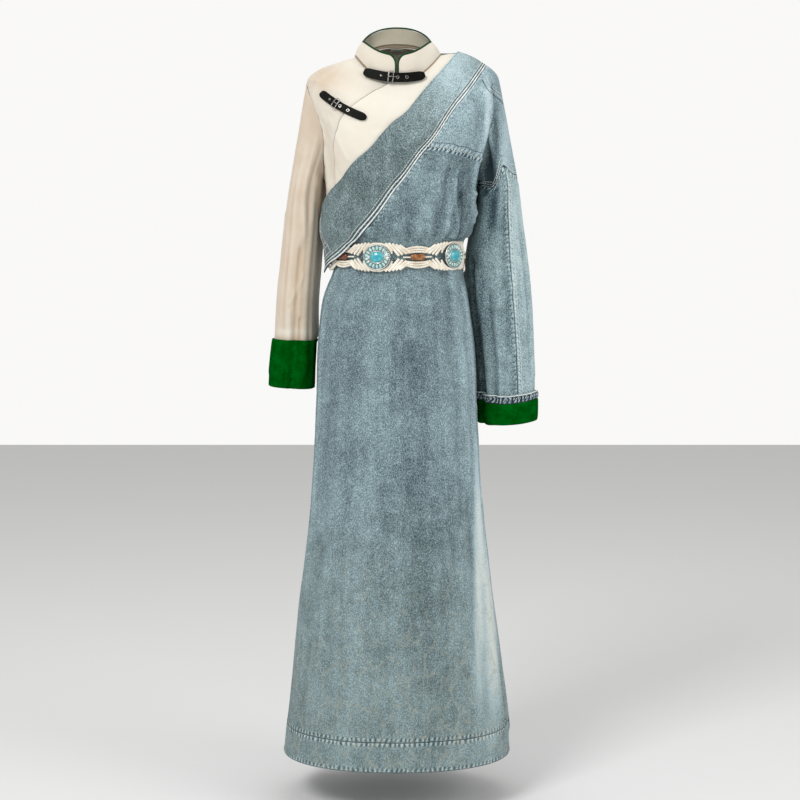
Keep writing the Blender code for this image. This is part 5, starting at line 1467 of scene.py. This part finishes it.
SKIRT_CREASES = SKIRT_FOLDS + (
    Fold("gather under the belt, front", 22, 10.1, 25, 11.2, 8, 1.5),
    Fold("gather under the belt, left", 58, 10.1, 60, 11.6, 8, 1.8),
    Fold("gather under the belt, middle", -8, 10.1, -10, 11.0, 9, 1.2),
    Fold("gather under the belt, right", -44, 10.1, -50, 11.8, 9, 1.8),
    Fold("hip slant, left", 34, 10.4, 60, 12.6, 11, 1.4),
    Fold("hip slant, right", -30, 10.6, -62, 12.8, 11, 1.4),
    Fold("long soft line, left", 40, 12.4, 46, 16.4, 13, 1.8),
    Fold("long soft hollow, left", 52, 12.8, 56, 16.8, 12, -1.8),
    Fold("long soft line, middle", 2, 12.4, -2, 16.2, 15, 1.3),
    Fold("long soft line, right", -40, 12.0, -48, 16.6, 14, 1.7),
    Fold("long soft hollow, right", -54, 12.4, -60, 16.8, 13, -1.8),
    Fold("knee cross pull", -10, 14.2, 30, 14.5, 10, 0.9),
    Fold("shin cross pull", 14, 15.2, -30, 15.5, 10, -0.8),
    Fold("back gather, left", 132, 10.1, 130, 11.6, 9, 1.8),
    Fold("back gather, middle", 178, 10.1, 180, 11.4, 9, 1.6),
    Fold("back gather, right", 206, 10.1, 208, 11.6, 9, 1.8),
    Fold("back long line", 154, 11.6, 152, 16.6, 12, 1.8),
    Fold("back long line, right", 208, 12.0, 212, 16.8, 12, 1.8),
    Fold("back long hollow", 180, 12.0, 184, 16.8, 12, -1.6),
)
SKIRT_SPOTS = (
    (135, -1, -560, 30, 170, 0.14), (150, -1, -930, 9, 200, 1.1), (176, -1, -940, 14, 230, 1.6),
    (-20, -1, -760, 90, 300, -0.05), (-150, -1, -640, 26, 200, 0.1),
    (-170, -1, -1000, 40, 200, 0.06), (170, -1, -1050, 40, 160, 0.06), (0, -1, -1120, 160, 90, 0.05),
)
levels = np.concatenate([np.linspace(9.2, 10.6, 12), np.linspace(10.6, HEM_SEAM, 130)[1:]])
hem_levels = np.linspace(HEM_SEAM, HEM, 12)
for name, start in (("front", -90), ("back", 90)):
    angles = np.linspace(start, start + 180, 105)
    for part, some, node_name, seams in (
        ("skirt", levels, f"robe_skirt_{name}", ("bottom", "first", "last")),
        ("hem", hem_levels, f"hem_band_{name}", ("top", "bottom", "first", "last")),
    ):
        across, downward = np.broadcast_arrays(angles[None, :], some[:, None])
        places = np.stack([across, downward, np.zeros(across.shape)], -1)
        roped = "bottom" if part == "skirt" else "top"
        base, under = (0.13, "belt_tie") if part == "skirt" else (0.18, f"robe_skirt_{name}")
        body_cloth(f"{part}_{name}", places, SKIRT_OUT, SKIRT_CREASES, replaced=[node_name], base=base,
                   spots=SKIRT_SPOTS, seams=seams, shift=30.0 + start, rests_on=[under],
                   puckers=[Pucker(roped, 7.4, 0.5, 8), Pucker("first", 10, 0.35, 6),
                            Pucker("last", 10, 0.35, 6)], **denim_look)
print("skirt", {name: flat_sizes[name] for name in flat_sizes if "skirt" in name})

# %% [markdown]
# ## Leather closures
#
# Two short black straps are buckled: one at the base of the collar, one slanting on the wearer's right. The solids give
# the straps their place; here each gets rounded edges and its grain, and the buckle, prong, eyelets and rivet are made
# round.

# %% Closures
def refined(node_name, name, look, bevel=0.0, levels=1, crease=40):
    """A finer copy of a rigid solid: joined up, bevelled and subdivided."""
    piece = frame["nodes"][node_name].copy()
    piece.data = piece.data.copy()
    piece.name = name
    piece.parent = None
    scene.collection.objects.link(piece)
    for key in list(piece.keys()):
        del piece[key]
    piece.hide_render = piece.hide_viewport = False
    select_only(piece)
    bpy.ops.object.mode_set(mode="EDIT")
    bpy.ops.mesh.select_all(action="SELECT")
    bpy.ops.mesh.remove_doubles(threshold=0.00001)
    bpy.ops.mesh.tris_convert_to_quads(face_threshold=math.radians(30), shape_threshold=math.radians(40))
    bpy.ops.object.mode_set(mode="OBJECT")
    if bevel:
        made = piece.modifiers.new("edge", "BEVEL")
        made.width, made.segments, made.angle_limit = bevel, 2, math.radians(crease)
        bpy.ops.object.modifier_apply(modifier="edge")
    if levels:
        made = piece.modifiers.new("round", "SUBSURF")
        made.levels = made.render_levels = levels
        bpy.ops.object.modifier_apply(modifier="round")
    piece.data.materials.clear()
    piece.data.materials.append(look)
    bpy.ops.object.shade_smooth_by_angle(angle=math.radians(50))
    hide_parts(node_name)
    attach(piece, "root")
    return piece


for closure in ("upper", "lower"):
    for part in ("strap_left", "strap_right"):
        refined(f"closure_{closure}_{part}", f"{closure}_{part}", black_leather, 0.5 * MM, 1)
    for part in ("buckle", "prong"):
        refined(f"closure_{closure}_{part}", f"{closure}_{part}", buckle_metal, 0, 1)
    for part in ("eyelet_prong", "eyelet_spare", "rivet"):
        refined(f"closure_{closure}_{part}", f"{closure}_{part}", buckle_metal, 0.15 * MM, 1)
print("closures done")

# %% [markdown]
# ## Knotted belt
#
# The belt is cream cord worked in rows of hitches. Beside each oval plate the cords part round an
# open diamond; four slanting rows on each side then close in on a bead, where three cords pass above
# and three below it. Each row is modelled as a thick cord with its wraps.

# %% Belt of knotted cord
BELT_OUT = BELT_IN + 1.9 * MM


def belt_path(stops, count=16, out=BELT_OUT):
    """Points on the belt through stops given as distance along and height, in millimetres."""
    line = even(np.array(stops, float), count=count)
    return belt_point(belt_angle(line[:, 0] * MM), line[:, 1] * MM, out)


def hitched(path, radius, pitch=2.3 * MM):
    """A cord wrapped with hitches: its thickness swells at each wrap."""
    path = even(path, spacing=pitch / 5)
    run = np.arange(len(path)) / 5
    radii = radius * (0.86 + 0.2 * np.abs(np.sin(math.pi * run))) * np.minimum(1, rounded(path, radius) / radius + 0.25)
    out = unit((path - path.mean(axis=0) * [0, 0, 1]) * [1, 1, 0])
    return tube_parts(path, radii, 8, flat=0.85, up=out)


start, end = PLATE_PLACES[0] * 144 - 40, PLATE_PLACES[-1] * 144 + 40
parts = []
for place in PLATE_PLACES:
    for way in (-1, 1):
        towards_bead = any(abs(place + way / 2 - bead) < 0.1 for bead in BEAD_PLACES)
        for over in (-1, 1):
            for number in range(5):
                first = (14 + 6.2 * number, 25.2 - 1.15 * max(number - 1, 0))
                last = (32 + 6.6 * number, 9.5 - 7 * min(number, 1) + 1.9 * max(number - 1, 0))
                if number == 0:
                    last = (26.5, 10.5)
                if not towards_bead and number > 2:
                    continue
                stops = [(place * 144 + way * d, over * h) for d, h in (first, last)]
                lift = BELT_OUT + 0.25 * MM * number
                parts.append(hitched(belt_path(stops, out=lift), 2.55 * MM))
            round_plate = ((0, 24.0), (8, 23.4), (16, 20), (22.5, 13.5), (26, 6))
            hug = [(place * 144 + way * d, over * h) for d, h in round_plate]
            parts.append(hitched(belt_path(hug, 24), 2.3 * MM))
for place in BEAD_PLACES:
    for over in (-1, 1):
        for height, wide in ((9.6, 21), (13.9, 22), (18.2, 21)):
            bow = [height * (0.74 + 0.26 * math.cos(math.pi / 2 * d / 24)) for d in np.linspace(-wide, wide, 9)]
            stops = [(place * 144 + d, over * h) for d, h in zip(np.linspace(-wide, wide, 9), bow)]
            parts += twisted(belt_path(stops, 30), 2.15 * MM, 7 * MM)
    for way in (-1, 1):
        core = [(place * 144 + way * d, 0) for d in (11.5, 26)]
        parts += twisted(belt_path(core, 12), 1.6 * MM, 5 * MM)
for way, edge in ((-1, start), (1, end)):
    for height in (-6.5, -2.2, 2.2, 6.5):
        stops = [(edge - way * 16, height * 1.7), (edge - way * 8, height * 1.2), (edge, height)]
        parts += twisted(belt_path(stops, 14), 2.1 * MM, 7 * MM)
belt_cords = joined("belt_knotwork", parts, belt_cotton, 70)
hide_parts("belt_band")

tie_first = float(belt_angle(end * MM))
tie_last = float(belt_angle(start * MM)) + 360
parts = []
for over in (-1, 1):
    turns_here = np.linspace(tie_first + 0.6, tie_last - 0.6, 90)
    pinch = 1 - 0.45 * np.exp(-(((turns_here - KNOT_ANGLE) / 12) ** 2))
    parts += twisted(belt_point(turns_here, over * 3.2 * MM * pinch, BELT_OUT), 2.5 * MM, 9 * MM)
tie = joined("belt_cord_tie", parts, belt_cotton, 70)
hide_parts("belt_tie")
turn = np.linspace(0, 2 * math.pi, 90)
wide, high = np.sin(turn) + 2 * np.sin(2 * turn), np.cos(turn) - 2 * np.cos(2 * turn)
deep = -np.sin(3 * turn)
loop = knot_point + np.outer(wide, knot_side) * 1.45 * MM + np.outer(deep, knot_away) * 2.0 * MM
loop[:, 2] += high * 1.6 * MM
knot = joined("belt_cord_knot", [tube_parts(loop, 1.9 * MM, 9)], belt_cotton, 70)
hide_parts("belt_knot")
print("knotwork faces", len(belt_cords.data.polygons))

# %% [markdown]
# ## Oval plates and beads
#
# Each plate is an oval of silver with a rolled rim, a ring of pale pointed stones set between fine
# walls on a dark teal ground, a plain inner ring with a point at each side, and a large blue stone.

# %% Plates, stones and beads
PLATE_OUT = BELT_IN + BELT_WALL + 3.25 * MM


def oval_line(half_wide, half_high, count=72):
    turn = np.linspace(0, 2 * math.pi, count, endpoint=False)
    return np.stack([half_wide * np.cos(turn), half_high * np.sin(turn), np.zeros(count)], -1)


def set_on(piece, place, height):
    """Stand a piece modelled flat on the belt, with its back at a height off the belt."""
    point, along, up, away = belt_frame(place * PLATE_SPACING, PLATE_OUT + height)
    turn = Matrix([[along[i], up[i], away[i], point[i]] for i in range(3)] + [[0, 0, 0, 1]])
    piece.data.transform(turn)
    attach(piece, "root")
    return piece


def ring_parts(half_wide, half_high, radius, height, sides=10):
    """A closed oval ring of round wire."""
    line = oval_line(half_wide * MM, half_high * MM)
    line[:, 2] = height * MM
    out = unit(line * [1, 1, 0])
    turn = np.linspace(0, 2 * math.pi, sides, endpoint=False)
    outward = out[:, None] * np.cos(turn)[None, :, None]
    upward = np.array([0, 0, 1.0]) * np.sin(turn)[None, :, None]
    points = line[:, None] + radius * MM * (outward + upward)
    index = np.arange(len(line) * sides).reshape(len(line), sides)
    down, beside = np.roll(index, -1, axis=0), np.roll(index, -1, axis=1)
    faces = np.stack([index, down, np.roll(down, -1, axis=1), beside], -1).reshape(-1, 4).tolist()
    return points.reshape(-1, 3), faces


def disc_parts(half_wide, half_high, bottom, top, inset=0.0):
    """A flat oval slab."""
    low, high = oval_line(half_wide * MM, half_high * MM), oval_line((half_wide - inset) * MM, (half_high - inset) * MM)
    low[:, 2], high[:, 2] = bottom * MM, top * MM
    count = len(low)
    index = np.arange(count)
    walls = np.stack([index, np.roll(index, -1), np.roll(index, -1) + count, index + count], -1).tolist()
    return np.concatenate([low, high]), walls + [index[::-1].tolist(), (index + count).tolist()]


def drop_parts(centre, turn, length, width, height, bottom):
    """A pointed domed stone lying outward along a direction."""
    rows = [(-0.5, 0.0), (-0.42, 0.2), (-0.2, 0.36), (0.05, 0.47), (0.25, 0.5), (0.4, 0.38), (0.5, 0.0)]
    points, faces = [], []
    out, side = np.array([math.cos(turn), math.sin(turn), 0]), np.array([-math.sin(turn), math.cos(turn), 0])
    for along, half in rows:
        for share in (-1, -0.5, 0, 0.5, 1):
            dome = (1 - share**2) * math.sqrt(half / 0.5) if half else 0
            raised = np.array([0, 0, bottom + dome * height])
            points.append(centre + out * along * length + side * share * half * width + raised)
    for row in range(len(rows) - 1):
        for column in range(4):
            a = row * 5 + column
            faces.append([a, a + 5, a + 6, a + 1])
    return np.array(points) * MM, faces


for number, place in enumerate(PLATE_PLACES, 1):
    rings = [disc_parts(24.3, 22.3, 0.0, 1.3), ring_parts(23.7, 21.7, 0.8, 1.4), ring_parts(13.4, 10.6, 0.7, 2.0)]
    for way in (-1, 1):
        rings.append(tube_parts(np.array([[way * 13.6, 0, 2.1], [way * 15.2, 0, 2.2], [way * 18.4, 0, 2.0]]) * MM,
                                np.array([1.9, 1.6, 0.3]) * MM, 10, flat=0.6, up=(0, 0, 1)))
    drops = []
    for index in range(18):
        turn = 2 * math.pi * (index + 0.5) / 18
        middle = np.array([18.3 * math.cos(turn), 16.1 * math.sin(turn), 0])
        out = math.atan2(middle[1] / 16.1**2, middle[0] / 18.3**2)
        drops.append(drop_parts(middle, out, 8.0, 4.6, 1.4, 1.75))
        wall = 2 * math.pi * index / 18
        inner, outer = np.array([14.4, 11.6]), np.array([22.4, 20.4])
        ends = [np.array([r[0] * math.cos(wall), r[1] * math.sin(wall), 1.9]) for r in (inner, outer)]
        rings.append(tube_parts(np.array([ends[0], (ends[0] + ends[1]) / 2, ends[1]]) * MM, 0.32 * MM, 5, up=(0, 0, 1)))
    metal = joined(f"plate_silver_{number}", rings, silver_metal)
    set_on(metal, place, 0)
    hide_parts(f"belt_plate_{number}")
    ground = joined(f"plate_ground_{number}", [disc_parts(23.2, 21.2, 1.25, 1.72)], teal_back)
    set_on(ground, place, 0)
    petals = joined(f"plate_petals_{number}", drops, pale_stone, 60)
    set_on(petals, place, 0)
    bpy.ops.mesh.primitive_uv_sphere_add(segments=40, ring_count=24, radius=1)
    cabochon = bpy.context.object
    cabochon.name = f"plate_stone_{number}"
    cabochon.data.transform(Matrix.Diagonal((12.6 * MM, 9.6 * MM, 4.0 * MM, 1)))
    cabochon.data.transform(Matrix.Translation((0, 0, 2.0 * MM)))
    cabochon.data.materials.append(turquoise)
    select_only(cabochon)
    bpy.ops.object.shade_smooth()
    set_on(cabochon, place, 0)
    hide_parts(f"belt_stone_{number}")

for number, place in enumerate(BEAD_PLACES, 1):
    bpy.ops.mesh.primitive_cylinder_add(vertices=32, radius=6.2 * MM, depth=26 * MM)
    bead = bpy.context.object
    bead.name = f"belt_barrel_{number}"
    edges = bead.modifiers.new("rim", "BEVEL")
    edges.width, edges.segments = 3.6 * MM, 6
    bpy.ops.object.modifier_apply(modifier="rim")
    point, along, up, away = belt_frame(place * PLATE_SPACING, BELT_IN + BELT_WALL / 2 + 1.8 * MM)
    for vertex in bead.data.vertices:
        swell = 0.78 + 0.22 * math.cos(vertex.co.z / (13 * MM) * math.pi / 2)
        vertex.co.x *= swell * 0.72
        vertex.co.y *= swell
    bead.data.transform(Matrix([[away[i], up[i], along[i], point[i]] for i in range(3)] + [[0, 0, 0, 1]]))
    bead.data.materials.append(amber if number == 3 else red_brown)
    bpy.ops.object.shade_smooth_by_angle(angle=math.radians(60))
    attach(bead, "root")
    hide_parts(f"belt_bead_{number}")
print("belt fittings done")

# %% [markdown]
# ## Seams and stitches
#
# Pale thread shows in double rows along the yoke seams, the shoulder, the front seam of the sleeve
# and the lower edge of the diagonal band. Each row is laid on its own piece of cloth, either beside
# one of its edges or along a line seen from the front.

# %% Rows of stitches
pieces = bpy.data.objects


def laid_on(piece, line):
    """The nearest points of a piece to a line held a little off it, and their normals."""
    found = [pieces[piece].closest_point_on_mesh(Vector(point)) for point in line]
    return np.array([hit[1] for hit in found]), np.array([hit[2] for hit in found])


def seen(piece, pixels):
    """The line on a piece that is seen along a line of picture points from the camera."""
    turn = camera.rotation_euler.to_matrix()
    points, normals = [], []
    for x, y in even(pixels, spacing=1.5):
        ray = turn @ Vector(((x - MIDDLE) / FOCAL, (MIDDLE - y) / FOCAL, -1))
        hit, point, normal, _ = pieces[piece].ray_cast(camera.location, ray.normalized())
        if hit:
            points.append(point)
            normals.append(normal)
    return np.array(points), np.array(normals)


def on_band(across, first, last, back=False, count=260):
    places = band(np.linspace(first, last, count), across)
    places = behind(places) if back else places
    return laid_on(f"diagonal_band_{'back' if back else 'front'}", on_body(places, ROBE_OUT + 3 * MM, BAND_CREASES))


def beside(line, normals, distance):
    """A line moved sideways over the cloth, in millimetres."""
    side = unit(np.cross(unit(np.gradient(line, axis=0)), normals))
    return line + side * distance * MM


def thread(name, rows, look=white_thread, slot="lapel_denim", **size):
    parts = []
    for line, normals in rows:
        if len(line) > 3:
            parts += stitches(line, normals, **size)
    return joined(name, parts, look)


def ridge(name, rows, radius, look, slot, flat=0.5):
    """A raised line of cloth along a seam."""
    parts = []
    for line, normals in rows:
        if len(line) > 3:
            parts.append(tube_parts(line, rounded(line, radius * MM), 8, flat=flat, up=normals))
    return joined(name, parts, look)


sides = (False, True)
turns_here = np.linspace(0, 360, 181)
line = body(turns_here, 0.0) + [0, 0, -0.4 * MM] - unit(body(turns_here, 0.0) * [1, 1, 0]) * 0.6 * MM
welt = tube_parts(line, rounded(line, 1.9 * MM), 8, up=np.array([0.0, 0.0, 1.0]))
joined("neck_seam_welt", [welt], cream)
# the two near-black lines between the pale edges are painted shade in the grooves
for name, across, radius, look in (
    ("band_edge", 0.985, 1.3, pale_edge), ("band_second_edge", 0.915, 0.9, pale_edge),
    ("band_groove", 0.95, 0.7, painted_groove_shade), ("band_second_groove", 0.885, 0.6, painted_groove_shade),
):
    lines = [on_band(across, 0.02, LAST_STATION - 0.02, back) for back in sides]
    ridge(name, lines, radius, look, "lapel_denim")
thread("band_rows", [on_band(0.85, 0.02, LAST_STATION - 0.1, back) for back in sides], length=3.2, gap=1.3, radius=0.5)
thread("band_upper_row", [on_band(0.05, 0.02, LAST_STATION - 0.1, back) for back in sides], blue_thread,
       length=3.0, gap=1.6, radius=0.4)
ends = []
for step in range(5):
    share = 0.12 + 0.17 * step
    low, high = band(LAST_STATION - 0.14 - 0.02 * step, share), band(LAST_STATION - 0.8, share)
    ends.append(laid_on("diagonal_band_front", on_body(between([low], [high], 24)[0], ROBE_OUT + 3 * MM, BAND_CREASES)))
for station in (6.22, 6.5, 6.76):
    places = band(station, np.linspace(0.08, 0.86, 40))
    ends.append(laid_on("diagonal_band_front", on_body(places, ROBE_OUT + 3 * MM, BAND_CREASES)))
thread("band_point_rows", ends, length=3.0, gap=1.4, radius=0.5)
print("band stitches done")

# %% Stitches of the yokes, sleeve and hem
rows = []
for name, back in (("front", False), ("back", True)):
    seam = seam_lines[name]
    line = on_body(seam, ROBE_OUT + 3 * MM, ROBE_CREASES)
    normals = body_normal(seam[:, 0], seam[:, 1])
    for distance in (2.2, 7.6):
        over = beside(line, normals, distance * (-1 if back else 1))
        rows.append(laid_on(f"robe_yoke_{name}", over))
thread("yoke_rows", rows, length=3.4, gap=2.0, radius=0.55, slot="washed_denim")

phis = np.linspace(-176, 176, 200)
rows = []
for share in (0.955, 0.865):
    line = np.array([robe_arm.grid([phi], [share * dropped_seam(phi)], -3 * MM)[0, 0] for phi in phis])
    for name, keep in (("front", phis > 2), ("back", phis < -2)):
        rows.append(laid_on(f"robe_yoke_{name}", line[keep]))
thread("dropped_seam_rows", rows, length=3.2, gap=1.8, radius=0.5, slot="washed_denim")

rows = []
for start in (FRONT_SEAM, BACK_SEAM):
    for distance in (2.5, 8.0):
        stations = np.linspace(1.05, 6.02, 160)
        line = np.array([robe_arm.point(start, s, -3 * MM) for s in stations])
        normals = np.array([robe_arm.normal([start], [s])[0, 0] for s in stations])
        side = beside(line, normals, distance)
        outer_side = robe_arm.point(start - 8, 3.5)
        if np.linalg.norm(side[80] - outer_side) > np.linalg.norm(line[80] - outer_side):
            side = beside(line, normals, -distance)
        rows.append(laid_on("denim_sleeve_outer", side))
thread("sleeve_seam_rows", rows, length=3.4, gap=1.6, radius=0.5, slot="sleeve_denim")

shoulder = ((482, 79), (484, 84), (488, 90), (495, 96), (501, 101), (505.5, 107))
# raised line along the shoulder seam, coloured near-black as painted shade
ridge("shoulder_fell", [seen("robe_yoke_front", shoulder)], 0.8, painted_groove_shade, "washed_denim")
rows = [seen("robe_yoke_front", [(x + dx, y + dy) for x, y in shoulder]) for dx, dy in ((1.6, -1.6), (3.6, -3.2))]
thread("shoulder_rows", rows, length=3.2, gap=1.6, radius=0.55, slot="washed_denim")

around = np.arange(-180, 180.5, 1.0)
rows, low_rows = [], []
for name, keep in (("front", np.abs(around) < 89), ("back", np.abs(around) > 91)):
    turns_here = around[keep] if name == "front" else np.arange(91, 269.5, 1.0)
    for level, group_rows, piece in ((HEM_SEAM - 0.045, rows, f"skirt_{name}"), (HEM - 0.16, low_rows, f"hem_{name}"),
                                     (HEM - 0.045, low_rows, f"hem_{name}")):
        places = np.stack([turns_here, np.full(turns_here.shape, level), np.zeros(turns_here.shape)], -1)
        group_rows.append(laid_on(piece, on_body(places, SKIRT_OUT + 3 * MM, SKIRT_CREASES)))
thread("hem_seam_row", rows, blue_thread, length=3.6, gap=2.2, radius=0.45, slot="washed_denim")
thread("hem_bottom_rows", low_rows, blue_thread, length=3.4, gap=2.4, radius=0.5, slot="washed_denim")

phis = np.arange(-180, 181, 3.0)
rim = np.array([robe_arm.grid([phi], [6.035 + sag(phi)], -(5.6 * MM))[0, 0] for phi in phis])
white_rim = tube_parts(rim, rounded(rim, 1.15 * MM), 8, up=robe_arm.normal(phis, [6.04])[0])
joined("cuff_white_edge", [white_rim], pale_edge)
ticks = []
for phi in np.arange(-178, 180, 6.0):
    stops = [(phi + lean, s + sag(phi)) for lean, s in ((0, 6.09), (1.2, 6.14), (2.4, 6.19))]
    line = np.array([robe_arm.grid([turn], [s], -9 * MM)[0, 0] for turn, s in stops])
    ticks.append(laid_on("cuff_edge_band", even(line, count=6)))
thread("cuff_edge_ticks", ticks, length=3.2, gap=0.4, radius=0.5, slot="dark_denim")
print("stitches done")
